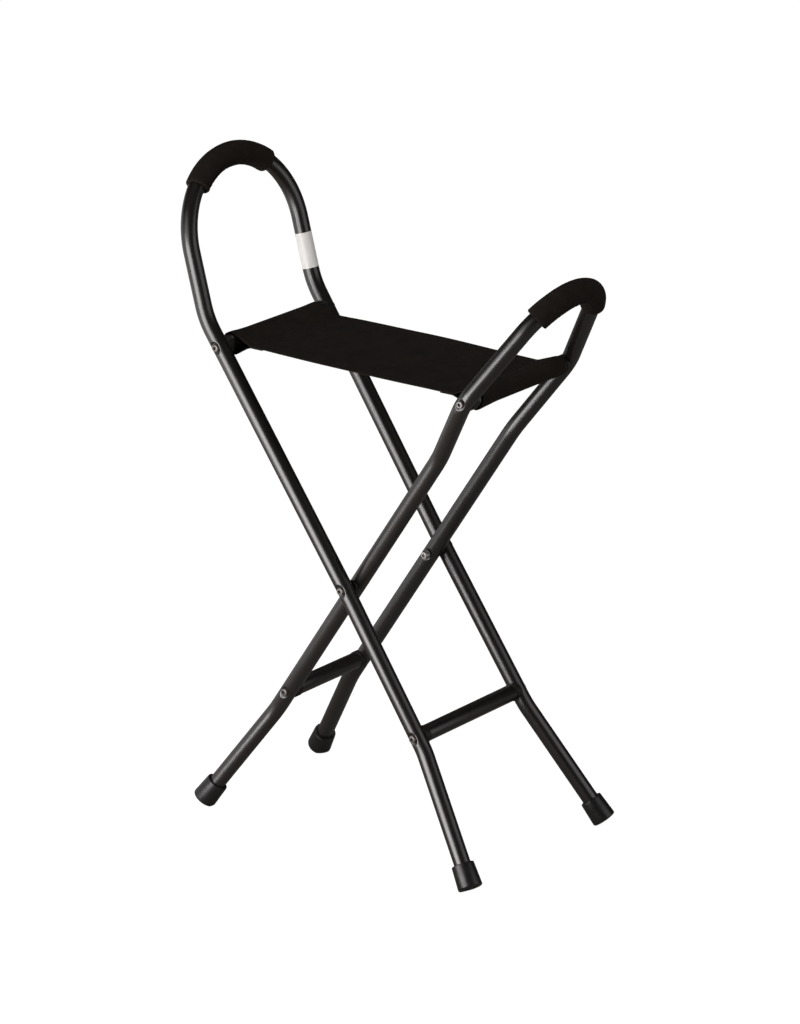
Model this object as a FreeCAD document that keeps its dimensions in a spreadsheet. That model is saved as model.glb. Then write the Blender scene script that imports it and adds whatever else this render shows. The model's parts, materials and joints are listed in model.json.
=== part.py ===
import FreeCAD, Part
import math
import os

import Sketcher
from FreeCAD import Placement, Rotation, Vector

# A folding walking stick seat. Two frames of bent tube cross like scissors on a pivot, and a fabric
# sling hangs between them. The tall frame leans to -X and is the outer one at the pivot, the short
# frame leans to +X and is the inner one. Y runs across the seat, near side negative, Z is up, and
# the four feet stand on Z = 0. Lengths are in millimetres and angles in degrees.
#
# Each frame is drawn in its own plane first: "rise" is the distance up a leg from the pivot, "drop"
# the distance down it, and a half width is measured from the middle plane to the tube's centre line.

doc = FreeCAD.newDocument("walking_stick_seat")

# Driving dimensions

DIMENSIONS = (
    ("leg_lean", 34.3, "lean of both frames from the vertical when open"),
    ("lower_leg_length", 417, "pivot to the underside of a ferrule, along the frame's plane"),
    ("lower_bar_drop", 212.5, "pivot down to the lower bar"),
    ("seat_rise", 355, "pivot up to the seat bar"),
    ("tube_diameter", 22.2, "outside diameter of the frame tubes and the bars"),
    ("tube_wall", 1.5, "wall of the tubes"),
    ("foot_bend_radius", 100, "bend above each foot"),
    ("tall_foot_half_width", 145, "tall frame, at the underside of the ferrules"),
    ("tall_bar_half_width", 107.5, "tall frame, at the bend above the foot"),
    ("tall_bend_below_bar", 20.5, "tall frame, lower bar down to the bend above the foot"),
    ("tall_loop_half_width", 109.5, "tall frame, at the seat bend, and the radius of its loop"),
    ("tall_bend_above_seat", 40, "tall frame, seat bar up to the bend above it"),
    ("tall_bend_angle", 19.7, "tall frame, turn of that bend towards the vertical"),
    ("tall_bend_radius", 105, "tall frame, radius of that bend"),
    ("tall_straight_length", 88, "tall frame, from that bend to the start of the loop"),
    ("waist_radius", 600, "tall frame, gentle bow where the legs lean in to the pivot"),
    ("short_foot_half_width", 122, "short frame, at the underside of the ferrules"),
    ("short_bend_below_bar", 37.5, "short frame, lower bar down to the bend above the foot"),
    ("short_leg_half_width", 77.5, "short frame, parallel stretch of the legs"),
    ("short_splay_below_seat", 114, "short frame, seat bar down to where the legs splay out"),
    ("short_splay_radius", 100, "short frame, bend at the start of the splay"),
    ("short_shoulder_half_width", 110, "short frame, corner of the shoulder, level with the seat bar"),
    ("short_shoulder_radius", 52, "short frame, bend of the shoulder"),
    ("short_loop_radius", 76.2, "short frame, radius of the handle loop"),
    ("short_loop_above_seat", 86.5, "short frame, seat bar up to the centre of the handle loop"),
    ("pivot_gap", 4.2, "gap between the crossing legs of the two frames"),
    ("pivot_side_clearance", 0.3, "free play beside the short leg at the pivot"),
    ("barrel_wall", 0.95, "wall of the pivot's sleeve nut"),
    ("barrel_clearance", 0.05, "running clearance round that shank"),
    ("barrel_end_gap", 0.5, "from the sleeve nut's end to the head of its screw"),
    ("barrel_bore_margin", 1, "sleeve nut's bore beyond the tip of its screw"),
    ("spacer_diameter", 18, "ring between the crossing legs"),
    ("screw_diameter", 6, "thread of every screw"),
    ("screw_fit", 0.05, "clearance between a screw and the hole it is threaded into"),
    ("screw_hole_clearance", 0.2, "clearance of a screw in the wall of a leg"),
    ("bar_screw_length", 40, "screws that hold the bars, under the head"),
    ("pivot_screw_length", 20, "screws in the pivot's sleeve nuts, under the head"),
    ("head_diameter", 10.5, "button head of the screws and sleeve nuts"),
    ("head_height", 3.3, "height of that head"),
    ("head_rounding", 2.4, "rounding of that head"),
    ("socket_width", 4, "hexagon socket, across the flats"),
    ("socket_depth", 2, "depth of that socket"),
    ("dimple_depth", 2, "depth of the pressed seat under a head, below the tube's crest"),
    ("dimple_floor_margin", 0.95, "flat floor of that seat, round the head"),
    ("dimple_slope_width", 2.55, "from that floor out to the mouth, level with the crest"),
    ("plug_spigot_length", 25, "part of an end plug inside its bar"),
    ("plug_fit", 0.05, "clearance of that spigot in the bar"),
    ("collar_thickness", 4, "end plug between the bar's end and the leg"),
    ("collar_lip", 0.8, "collar beyond the bar's surface"),
    ("collar_wrap", 6, "reach of the collar round the leg, past the crest"),
    ("saddle_fit", 0.1, "clearance between that collar and the leg"),
    ("foam_thickness", 5.05, "wall of the foam grips"),
    ("grip_length", 163, "length of a foam grip along the tube"),
    ("grip_fit", 0.1, "clearance between a grip and its tube"),
    ("grip_edge_radius", 1.5, "rounding of the grip's ends"),
    ("short_grip_shift", 12.5, "short frame's grip, off centre towards the far side"),
    ("ferrule_length", 33, "rubber ferrule, overall"),
    ("ferrule_wall", 3.85, "wall of a ferrule at its mouth"),
    ("ferrule_flare", 1.5, "outside radius of the sole, more than at the mouth"),
    ("ferrule_sole_thickness", 7, "rubber under the steel disc"),
    ("ferrule_sole_radius", 2.5, "rounding of the sole's edge"),
    ("ferrule_rim_radius", 1.2, "rounding of the mouth's edge"),
    ("ferrule_fit", 0.05, "clearance between a ferrule and its leg"),
    ("ferrule_flat_depth", 2, "rubber worn and pressed flat on the floor"),
    ("sole_groove_inner", 5, "inner radius of the groove in the sole"),
    ("sole_groove_outer", 8, "outer radius of the groove in the sole"),
    ("sole_groove_depth", 1.5, "depth of that groove"),
    ("disc_thickness", 1.2, "steel disc between the tube's end and the sole"),
    ("sling_side_clearance", 2.5, "fabric to the collar of the nearer end plug"),
    ("fabric_thickness", 1.2, "one layer of the fabric"),
    ("sleeve_clearance", 0.3, "between a sleeve and its seat bar"),
    ("sleeve_neck", 34, "seat bar's centre to the stitching that closes the sleeve"),
    ("hem_overlap", 20, "two layers of fabric beyond that stitching"),
    ("label_length", 48, "wrap-round label, along the leg"),
    ("label_above_bend", 0.3, "from the end of the tall frame's bend to the label"),
    ("label_thickness", 0.2, "label"),
    ("label_fit", 0.05, "between the label and the tube"),
    ("label_wrap", 330, "part of the turn that the label covers"),
    ("label_facing", -90, "direction that the middle of that turn faces, the near side"),
)
SAME_POINT = 1e-4
BOX_ACCURACY = 0.2

sheet = doc.addObject("Spreadsheet::Sheet", "dims")
aliases = []


def enter(alias, number, note):
    """Give the sheet one more row: a note, a number, and the alias that expressions use."""
    aliases.append(alias)
    row = len(aliases)
    sheet.set(f"A{row}", note)
    sheet.set(f"B{row}", str(number))
    sheet.setAlias(f"B{row}", alias)


for alias, number, note in DIMENSIONS:
    enter(alias, number, note)
doc.recompute()


def size(alias):
    """The value of a row of the sheet."""
    return float(sheet.get(alias))


# Values that follow from the driving ones

TUBE_RADIUS = size("tube_diameter") / 2
TALL_PIVOT_HALF_WIDTH = size("short_leg_half_width") + size("tube_diameter") + size("pivot_gap")
SIDES = (("near", -1), ("far", 1))
UP = Vector(0, 0, 1)
ACROSS = Vector(0, 1, 0)

sub_parts = []


def sub_part(item, label, solids=1):
    """Enter a finished piece, or a group of alike pieces, in the list of what is written out."""
    item.Label = label
    sub_parts.append((item, solids))
    return item


# Sketch helpers


def bound(text):
    """The number that an expression over the sheet comes to."""
    return float(FreeCAD.Units.Quantity(sheet.evalExpression(text)).Value)


def origin_plane(body, role):
    """One of the body's own origin planes."""
    return next(item for item in body.Origin.OriginFeatures if item.Role == role)


def new_sketch(body, name, role, lift=None):
    """A sketch on one of the body's origin planes, lifted off it by an expression if one is given."""
    sketch = body.newObject("Sketcher::SketchObject", name)
    sketch.AttachmentSupport = [(origin_plane(body, role), "")]
    sketch.MapMode = "FlatFace"
    if lift:
        sketch.setExpression("AttachmentOffset.Base.z", lift)
    return sketch


def pin_point(sketch, edge, end, across, along):
    """Tie one point of an edge to the sheet, by an expression for each of its two coordinates."""
    for kind, axis, text in (("DistanceX", -2, across), ("DistanceY", -1, along)):
        if text == "0":
            sketch.addConstraint(Sketcher.Constraint("PointOnObject", edge, end, axis))
        else:
            number = sketch.addConstraint(Sketcher.Constraint(kind, -1, 1, edge, end, bound(text)))
            sketch.setExpression(f"Constraints[{number}]", text)


def draw_outline(sketch, corners):
    """A closed outline of straight edges through corners given as pairs of expressions."""
    spots = [Vector(bound(across), bound(along), 0) for across, along in corners]
    count = len(spots)
    for index in range(count):
        sketch.addGeometry(Part.LineSegment(spots[index], spots[(index + 1) % count]))
    for index in range(count):
        sketch.addConstraint(Sketcher.Constraint("Coincident", index, 2, (index + 1) % count, 1))
    for index, (across, along) in enumerate(corners):
        pin_point(sketch, index, 1, across, along)


def draw_circle(sketch, radius):
    """A circle about the sketch's origin, its radius an expression."""
    circle = sketch.addGeometry(Part.Circle(Vector(), UP, bound(radius)))
    sketch.addConstraint(Sketcher.Constraint("Coincident", circle, 3, -1, 1))
    number = sketch.addConstraint(Sketcher.Constraint("Radius", circle, bound(radius)))
    sketch.setExpression(f"Constraints[{number}]", radius)


def turned_body(name, corners):
    """A body turned about its own Z axis from a half outline of (radius, height) expressions."""
    body = doc.addObject("PartDesign::Body", name)
    sketch = new_sketch(body, f"{name}_half", "XZ_Plane")
    draw_outline(sketch, corners)
    turn = body.newObject("PartDesign::Revolution", f"{name}_turn")
    turn.Profile = sketch
    turn.ReferenceAxis = (sketch, ["V_Axis"])
    turn.Angle = 360
    body.Tip = turn
    doc.recompute()
    return body


def round_edges(body, name, wanted, radius):
    """Round the circular edges at the wanted heights; each is a pair of radius and height."""
    base = body.Tip
    edges = []
    for index, edge in enumerate(base.Shape.Edges, start=1):
        if not isinstance(edge.Curve, Part.Circle):
            continue
        for edge_radius, height in wanted:
            level = abs(edge.Curve.Center.z - height) < SAME_POINT
            if level and abs(edge.Curve.Radius - edge_radius) < SAME_POINT:
                edges.append(f"Edge{index}")
    if len(edges) != len(wanted):
        raise RuntimeError(f"{name}: found {len(edges)} edges to round, not {len(wanted)}")
    fillet = body.newObject("PartDesign::Fillet", name)
    fillet.Base = (base, edges)
    fillet.setExpression("Radius", radius)
    body.Tip = fillet
    doc.recompute()


def along(point, direction):
    """The placement that stands a piece's own Z axis on a point, along a direction."""
    return Placement(point, Rotation(UP, direction))


# Radii that several pieces share, as expressions

BARREL_RADIUS = "(dims.screw_diameter / 2 + dims.screw_fit + dims.barrel_wall)"
BARREL_HOLE = f"({BARREL_RADIUS} + dims.barrel_clearance)"
SCREW_HOLE = "(dims.screw_diameter / 2 + dims.screw_hole_clearance)"
DIMPLE_FLOOR = "(dims.head_diameter / 2 + dims.dimple_floor_margin)"
DIMPLE_MOUTH = f"({DIMPLE_FLOOR} + dims.dimple_slope_width)"
SADDLE_RADIUS = "(dims.tube_diameter / 2 + dims.saddle_fit)"
GRIP_BORE = "(dims.tube_diameter / 2 + dims.grip_fit)"
GRIP_RADIUS = f"({GRIP_BORE} + dims.foam_thickness)"
FERRULE_BORE = "(dims.tube_diameter / 2 + dims.ferrule_fit)"
RIM_RADIUS = f"({FERRULE_BORE} + dims.ferrule_wall)"
SOLE_RADIUS = f"({RIM_RADIUS} + dims.ferrule_flare)"
SLEEVE_BORE = "(dims.tube_diameter / 2 + dims.sleeve_clearance)"
SLEEVE_RADIUS = f"({SLEEVE_BORE} + dims.fabric_thickness)"
LABEL_BORE = "(dims.tube_diameter / 2 + dims.label_fit)"

# Frame paths: straight runs joined by tangent arcs, from the near foot round the loop to the far one


def half_path(corners, radii):
    """Edges of the near half of a frame, from its foot to the start of its loop."""
    edges = []
    start = corners[0]
    for before, corner, after, radius in zip(corners, corners[1:], corners[2:], radii):
        back = (before - corner).normalize()
        onward = (after - corner).normalize()
        turn = math.pi - back.getAngle(onward)
        reach = radius * math.tan(turn / 2)
        inset = radius / math.cos(turn / 2) - radius
        first = corner + back * reach
        middle = corner + (back + onward).normalize() * inset
        last = corner + onward * reach
        edges.append(Part.LineSegment(start, first).toShape())
        edges.append(Part.Arc(first, middle, last).toShape())
        start = last
    edges.append(Part.LineSegment(start, corners[-1]).toShape())
    return edges


def mirrored_edges(edges):
    """The far half of a frame: the near half mirrored, and run the other way."""
    result = []
    for edge in reversed(edges):
        ends = [edge.valueAt(edge.LastParameter), edge.valueAt(edge.FirstParameter)]
        middle = edge.valueAt((edge.FirstParameter + edge.LastParameter) / 2)
        first, half, last = [Vector(p.x, -p.y, p.z) for p in (ends[0], middle, ends[1])]
        if isinstance(edge.Curve, Part.Circle):
            result.append(Part.Arc(first, half, last).toShape())
        else:
            result.append(Part.LineSegment(first, last).toShape())
    return result


def frame_path(corners, radii, loop_top):
    """The whole centre line of a frame, its foot corner first and its loop a single arc."""
    near = half_path(corners, radii)
    start = corners[-1]
    loop = Part.Arc(start, loop_top, Vector(start.x, -start.y, start.z)).toShape()
    return near + [loop] + mirrored_edges(near)


def stretch(edges, middle_shift, length):
    """The part of a path that is so long and centred so far past its middle, as edges."""
    total = sum(edge.Length for edge in edges)
    begin = total / 2 + middle_shift - length / 2
    finish = begin + length
    result = []
    walked = 0.0
    for edge in edges:
        low = max(begin - walked, 0)
        high = min(finish - walked, edge.Length)
        if high - low > SAME_POINT:
            first = edge.getParameterByLength(low)
            last = edge.getParameterByLength(high)
            result.append(edge.Curve.toShape(first, last))
        walked += edge.Length
    return result


def half_width(edges, rise):
    """Half width of a frame's centre line at a height along its legs."""
    level = Part.makeLine(Vector(0, 0, rise), Vector(0, 2 * size("tall_foot_half_width"), rise))
    gap, points, _ = Part.Wire(edges).distToShape(level)
    if gap > SAME_POINT:
        raise RuntimeError(f"no leg at {rise} mm from the pivot")
    return abs(points[0][0].y)


def foot_direction(foot, bend):
    """The way a leg runs into the floor."""
    return (foot - bend).normalize()


SEAT = size("seat_rise")
BAR = -size("lower_bar_drop")
FOOT = -size("lower_leg_length")
LEG_END = size("ferrule_sole_thickness") + size("disc_thickness")

tall_foot = Vector(0, -size("tall_foot_half_width"), FOOT)
tall_low_bend = Vector(0, -size("tall_bar_half_width"), BAR - size("tall_bend_below_bar"))
tall_foot_way = foot_direction(tall_foot, tall_low_bend)
tall_bend = Vector(0, -size("tall_loop_half_width"), SEAT + size("tall_bend_above_seat"))
bend_turn = Rotation(ACROSS, size("tall_bend_angle"))
tall_loop_way = bend_turn.multVec(UP)
tall_loop_start = tall_bend + tall_loop_way * size("tall_straight_length")
tall_loop_centre = Vector(tall_loop_start.x, 0, tall_loop_start.z)
tall_path = frame_path(
    (
        tall_foot - tall_foot_way * LEG_END,
        tall_low_bend,
        Vector(0, -TALL_PIVOT_HALF_WIDTH, 0),
        tall_bend,
        tall_loop_start,
    ),
    (size("foot_bend_radius"), size("waist_radius"), size("tall_bend_radius")),
    tall_loop_centre + tall_loop_way * size("tall_loop_half_width"),
)

short_foot = Vector(0, -size("short_foot_half_width"), FOOT)
short_low_bend = Vector(0, -size("short_leg_half_width"), BAR - size("short_bend_below_bar"))
short_foot_way = foot_direction(short_foot, short_low_bend)
short_splay = Vector(0, -size("short_leg_half_width"), SEAT - size("short_splay_below_seat"))
short_shoulder = Vector(0, -size("short_shoulder_half_width"), SEAT)
short_loop_centre = Vector(0, 0, SEAT + size("short_loop_above_seat"))
to_shoulder = short_shoulder - short_loop_centre
tangent_angle = math.acos(size("short_loop_radius") / to_shoulder.Length)
shoulder_angle = math.atan2(-to_shoulder.z, -to_shoulder.y)
loop_start_angle = tangent_angle - shoulder_angle
short_loop_start = short_loop_centre + Vector(
    0,
    -size("short_loop_radius") * math.cos(loop_start_angle),
    size("short_loop_radius") * math.sin(loop_start_angle),
)
short_path = frame_path(
    (
        short_foot - short_foot_way * LEG_END,
        short_low_bend,
        short_splay,
        short_shoulder,
        short_loop_start,
    ),
    (size("foot_bend_radius"), size("short_splay_radius"), size("short_shoulder_radius")),
    short_loop_centre + UP * size("short_loop_radius"),
)

# Where the frames stand: the middle of the whole object's width lies over the origin, and the
# soles' lowest edge, less what is pressed flat, touches the floor

lean = math.radians(size("leg_lean"))
bend = math.radians(size("tall_bend_angle"))
tall_top_x = -(
    tall_bend.z * math.sin(lean)
    + (size("tall_straight_length") + size("tall_loop_half_width")) * math.sin(lean - bend)
)
short_top_x = (short_loop_centre.z + size("short_loop_radius")) * math.sin(lean)
foot_tilt = math.acos(math.cos(lean) * -tall_foot_way.z)
sole_drop = (
    (bound(SOLE_RADIUS) - size("ferrule_sole_radius")) * math.sin(foot_tilt)
    + size("ferrule_sole_radius") * (1 - math.cos(foot_tilt))
)
PIVOT = Vector(
    -(tall_top_x + short_top_x) / 2,
    0,
    size("lower_leg_length") * math.cos(lean) + sole_drop - size("ferrule_flat_depth"),
)
TALL_LEAN = Placement(PIVOT, Rotation(ACROSS, -size("leg_lean")))
SHORT_LEAN = Placement(PIVOT, Rotation(ACROSS, size("leg_lean")))


# Bent tubes


def sweep(name, edges, radius):
    """A round bar of an expression's radius along a path."""
    rail = doc.addObject("Part::Feature", f"{name}_rail")
    rail.Shape = Part.Wire(edges)
    ring = doc.addObject("Part::Circle", f"{name}_ring")
    ring.setExpression("Radius", radius)
    first = edges[0]
    ring.Placement = along(first.valueAt(first.FirstParameter), first.tangentAt(first.FirstParameter))
    bar = doc.addObject("Part::Sweep", name)
    bar.Sections = [ring]
    bar.Spine = (rail, [])
    bar.Solid = True
    bar.Frenet = False
    doc.recompute()
    return bar


def cylinder(name, radius, length, placement):
    """A cylinder whose radius and length are expressions."""
    item = doc.addObject("Part::Cylinder", name)
    item.setExpression("Radius", radius)
    item.setExpression("Height", length)
    item.Placement = placement
    return item


def cut(name, base, tool):
    """The base less the tool."""
    item = doc.addObject("Part::Cut", name)
    item.Base = base
    item.Tool = tool
    doc.recompute()
    return item


def group(name, items):
    """Several shapes kept together as separate solids."""
    item = doc.addObject("Part::Compound", name)
    item.Links = items
    doc.recompute()
    return item


def dimple(name, crest, outward):
    """A pressed seat for a screw head: the metal kept behind it, and the hollow that is cut."""
    depth = "dims.dimple_depth + dims.tube_wall"
    backing = cylinder(f"{name}_backing", DIMPLE_MOUTH, depth, along(crest, -outward))
    hollow = doc.addObject("Part::Cone", f"{name}_hollow")
    hollow.setExpression("Radius1", DIMPLE_FLOOR)
    hollow.setExpression("Radius2", f"{DIMPLE_FLOOR} + 2 * dims.dimple_slope_width")
    hollow.setExpression("Height", "2 * dims.dimple_depth")
    hollow.Placement = along(crest - outward * size("dimple_depth"), outward)
    return backing, hollow


def frame_tube(label, edges, heads, holes):
    """A frame's bent tube with its pressed seats, given as (crest, outward), and its holes."""
    outer = sweep(f"{label}_outer", edges, "dims.tube_diameter / 2")
    inner = sweep(f"{label}_inner", edges, "dims.tube_diameter / 2 - dims.tube_wall")
    backings = []
    cuts = list(holes)
    for index, (crest, outward) in enumerate(heads, start=1):
        backing, hollow = dimple(f"{label}_dimple_{index}", crest, outward)
        backings.append(backing)
        cuts.append(hollow)
    bore = cut(f"{label}_bore", inner, group(f"{label}_backings", backings))
    walled = cut(f"{label}_wall", outer, bore)
    tube = cut(f"{label}_finished", walled, group(f"{label}_cuts", cuts))
    section = math.pi * (TUBE_RADIUS**2 - (TUBE_RADIUS - size("tube_wall")) ** 2)
    length = sum(edge.Length for edge in edges)
    plain = (outer.Shape.Volume - inner.Shape.Volume) / (section * length)
    print(f"{label}: {length:.1f} mm of tube, plain volume {plain:.5f} of section times length")
    return tube


def leg_hole(name, radius, y, rise):
    """A hole through both walls of the leg whose centre line is at y."""
    start = Vector(0, y - size("tube_diameter"), rise)
    return cylinder(name, radius, "2 * dims.tube_diameter", along(start, ACROSS))


for frame, edges in (("tall", tall_path), ("short", short_path)):
    for station, rise in (("seat", SEAT), ("lower", BAR), ("pivot", 0)):
        note = f"half width of the {frame} frame at its {station} screws"
        enter(f"{frame}_{station}_half", half_width(edges, rise), note)
doc.recompute()

# At the pivot a head sits outside the tall leg and inside the short one

for frame, edges, lean_placement, pivot_side in (
    ("tall", tall_path, TALL_LEAN, 1),
    ("short", short_path, SHORT_LEAN, -1),
):
    label = f"{frame}_frame_tube"
    heads = []
    holes = []
    for side, sign in SIDES:
        outward = ACROSS * sign
        for station, rise in (("seat", SEAT), ("lower", BAR)):
            half = size(f"{frame}_{station}_half")
            heads.append((outward * (half + TUBE_RADIUS) + UP * rise, outward))
            holes.append(leg_hole(f"{label}_{side}_hole", SCREW_HOLE, sign * half, rise))
        half = size(f"{frame}_pivot_half")
        heads.append((outward * (half + pivot_side * TUBE_RADIUS), outward * pivot_side))
        holes.append(leg_hole(f"{label}_{side}_pivot", BARREL_HOLE, sign * half, 0))
    tube = frame_tube(label, edges, heads, holes)
    tube.Placement = lean_placement
    sub_part(tube, label)

# Bars and their end plugs


def bar(name, rise, lean_placement):
    """A straight tube between the two legs, short of each by the plug's collar."""
    label = f"{name}_bar"
    reach = f"(dims.{name}_half - dims.tube_diameter / 2 - dims.collar_thickness)"
    body = doc.addObject("PartDesign::Body", label)
    sketch = new_sketch(body, f"{label}_section", "XY_Plane")
    draw_circle(sketch, "dims.tube_diameter / 2")
    draw_circle(sketch, "dims.tube_diameter / 2 - dims.tube_wall")
    pad = body.newObject("PartDesign::Pad", f"{label}_length")
    pad.Profile = sketch
    pad.setExpression("Length", f"2 * {reach}")
    body.Tip = pad
    doc.recompute()
    body.Placement = lean_placement * along(Vector(0, -bound(reach), rise), ACROSS)
    return sub_part(body, label)


PLUG_OUTLINE = (
    ("dims.screw_diameter / 2 + dims.screw_fit", "0"),
    ("dims.tube_diameter / 2 - dims.tube_wall - dims.plug_fit", "0"),
    ("dims.tube_diameter / 2 - dims.tube_wall - dims.plug_fit", "dims.plug_spigot_length"),
    ("dims.tube_diameter / 2 + dims.collar_lip", "dims.plug_spigot_length"),
    (
        "dims.tube_diameter / 2 + dims.collar_lip",
        "dims.plug_spigot_length + dims.collar_thickness + dims.collar_wrap",
    ),
    (
        "dims.screw_diameter / 2 + dims.screw_fit",
        "dims.plug_spigot_length + dims.collar_thickness + dims.collar_wrap",
    ),
)


def end_plug(name, side, sign, rise, leg_tool, lean_placement):
    """A plug in one end of a bar; its collar is cut to cup the leg."""
    label = f"{name}_{side}_plug"
    blank = turned_body(f"{label}_blank", PLUG_OUTLINE)
    bar_end = size(f"{name}_half") - TUBE_RADIUS - size("collar_thickness")
    inner_end = bar_end - size("plug_spigot_length")
    blank.Placement = along(Vector(0, sign * inner_end, rise), ACROSS * sign)
    plug = cut(f"{label}_saddle", blank, leg_tool)
    plug.Placement = lean_placement
    return sub_part(plug, label)


tall_saddle_tool = sweep("tall_saddle_tool", tall_path, SADDLE_RADIUS)
short_saddle_tool = sweep("short_saddle_tool", short_path, SADDLE_RADIUS)

BARS = (
    ("tall_seat", SEAT, tall_saddle_tool, TALL_LEAN),
    ("tall_lower", BAR, tall_saddle_tool, TALL_LEAN),
    ("short_seat", SEAT, short_saddle_tool, SHORT_LEAN),
    ("short_lower", BAR, short_saddle_tool, SHORT_LEAN),
)
for name, rise, saddle_tool, lean_placement in BARS:
    bar(name, rise, lean_placement)
    for side, sign in SIDES:
        end_plug(name, side, sign, rise, saddle_tool, lean_placement)

# Screws and the pivot


def cut_socket(body, name):
    """Sink a hexagon socket in a button head whose top is at the head's height."""
    before = body.Tip.Shape.Volume
    sketch = new_sketch(body, f"{name}_hexagon", "XY_Plane", "dims.head_height")
    corner = "dims.socket_width / sqrt(3)"
    flat = "dims.socket_width / 2"
    draw_outline(
        sketch,
        (
            (corner, "0"),
            (f"{corner} / 2", flat),
            (f"-{corner} / 2", flat),
            (f"-{corner}", "0"),
            (f"-{corner} / 2", f"-{flat}"),
            (f"{corner} / 2", f"-{flat}"),
        ),
    )
    socket = body.newObject("PartDesign::Pocket", f"{name}_socket")
    socket.Profile = sketch
    socket.setExpression("Length", "dims.socket_depth")
    body.Tip = socket
    doc.recompute()
    if socket.Shape.Volume >= before:
        raise RuntimeError(f"{name}: the socket was not cut")


def round_head(body, name):
    """Round a button head and sink its socket."""
    top = (size("head_diameter") / 2, size("head_height"))
    round_edges(body, f"{name}_dome", (top,), "dims.head_rounding")
    cut_socket(body, name)


def button_screw(name, length):
    """A button-head screw, its shank pointing down from the underside of its head at zero."""
    shank = "dims.screw_diameter / 2"
    head = "dims.head_diameter / 2"
    body = turned_body(
        name,
        (
            ("0", f"-{length}"),
            (shank, f"-{length}"),
            (shank, "0"),
            (head, "0"),
            (head, "dims.head_height"),
            ("0", "dims.head_height"),
        ),
    )
    round_head(body, name)
    return body


def seat_of_head(sign, half, rise):
    """Where the underside of a head lies, on the floor of its pressed seat outside a leg."""
    return along(
        Vector(0, sign * (half + TUBE_RADIUS - size("dimple_depth")), rise), ACROSS * sign
    )


for frame, lean_placement in (("tall", TALL_LEAN), ("short", SHORT_LEAN)):
    screws = []
    for station, rise in (("seat", SEAT), ("lower", BAR)):
        half = size(f"{frame}_{station}_half")
        for side, sign in SIDES:
            screw = button_screw(f"{frame}_{station}_{side}_screw", "dims.bar_screw_length")
            screw.Placement = seat_of_head(sign, half, rise)
            screws.append(screw)
    screw_set = group(f"{frame}_screw_set", screws)
    screw_set.Placement = lean_placement
    sub_part(screw_set, f"{frame}_bar_screws", solids=len(screws))

short_inner_face = size("short_pivot_half") - TUBE_RADIUS
barrel_head_y = short_inner_face + size("dimple_depth") - size("pivot_side_clearance")
pivot_screw_head_y = size("tall_pivot_half") + TUBE_RADIUS - size("dimple_depth")
enter(
    "barrel_length",
    pivot_screw_head_y - size("barrel_end_gap") - barrel_head_y,
    "shank of the pivot's sleeve nut, through both legs",
)
doc.recompute()


def sleeve_nut(name):
    """A sleeve nut: button head with a socket, and a shank bored for the screw, pointing down."""
    head = "dims.head_diameter / 2"
    thread = "dims.screw_diameter / 2 + dims.screw_fit"
    screw_reach = "dims.pivot_screw_length - dims.barrel_end_gap"
    bore_end = f"{screw_reach} + dims.barrel_bore_margin - dims.barrel_length"
    body = turned_body(
        name,
        (
            ("0", bore_end),
            (thread, bore_end),
            (thread, "-dims.barrel_length"),
            (BARREL_RADIUS, "-dims.barrel_length"),
            (BARREL_RADIUS, "0"),
            (head, "0"),
            (head, "dims.head_height"),
            ("0", "dims.head_height"),
        ),
    )
    round_head(body, name)
    return body


def spacer_ring(name):
    """The flat ring between the crossing legs; it clears the short one."""
    body = doc.addObject("PartDesign::Body", name)
    sketch = new_sketch(body, f"{name}_section", "XY_Plane")
    draw_circle(sketch, "dims.spacer_diameter / 2")
    draw_circle(sketch, BARREL_HOLE)
    pad = body.newObject("PartDesign::Pad", f"{name}_thickness")
    pad.Profile = sketch
    pad.setExpression("Length", "dims.pivot_gap - dims.pivot_side_clearance")
    body.Tip = pad
    doc.recompute()
    return body


for side, sign in SIDES:
    barrel = sleeve_nut(f"{side}_pivot_barrel")
    barrel.Placement = TALL_LEAN * along(Vector(0, sign * barrel_head_y, 0), ACROSS * -sign)
    sub_part(barrel, f"{side}_pivot_barrel")
    screw = button_screw(f"{side}_pivot_screw", "dims.pivot_screw_length")
    screw.Placement = TALL_LEAN * along(Vector(0, sign * pivot_screw_head_y, 0), ACROSS * sign)
    sub_part(screw, f"{side}_pivot_screw")
    ring = spacer_ring(f"{side}_spacer_ring")
    spacer_y = size("tall_pivot_half") - TUBE_RADIUS
    ring.Placement = along(Vector(0, sign * spacer_y, 0), ACROSS * -sign)
    spacer = cut(f"{side}_bedded_spacer", ring, tall_saddle_tool)
    spacer.Placement = TALL_LEAN
    sub_part(spacer, f"{side}_pivot_spacer")

# Foam grips


def foam_grip(label, edges, shift, lean_placement):
    """A foam sleeve that follows the loop, with rounded ends."""
    run = stretch(edges, shift, size("grip_length"))
    outer = sweep(f"{label}_outer", run, GRIP_RADIUS)
    inner = sweep(f"{label}_bore", run, GRIP_BORE)
    sleeve = cut(f"{label}_sleeve", outer, inner)
    tips = (run[0].valueAt(run[0].FirstParameter), run[-1].valueAt(run[-1].LastParameter))
    rounding = size("grip_edge_radius")
    rims = []
    for index, edge in enumerate(sleeve.Shape.Edges, start=1):
        outside = abs(edge.Length - 2 * math.pi * bound(GRIP_RADIUS)) < SAME_POINT
        at_tip = min(edge.CenterOfMass.distanceToPoint(tip) for tip in tips) < SAME_POINT
        if outside and at_tip:
            rims.append((index, rounding, rounding))
    if len(rims) != len(tips):
        raise RuntimeError(f"{label}: found {len(rims)} rims to round")
    grip = doc.addObject("Part::Fillet", f"{label}_rounded")
    grip.Base = sleeve
    grip.Edges = rims
    doc.recompute()
    grip.Placement = lean_placement
    return sub_part(grip, label)


foam_grip("tall_grip", tall_path, 0, TALL_LEAN)
foam_grip("short_grip", short_path, size("short_grip_shift"), SHORT_LEAN)

# Ferrules and the steel discs inside them

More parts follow.
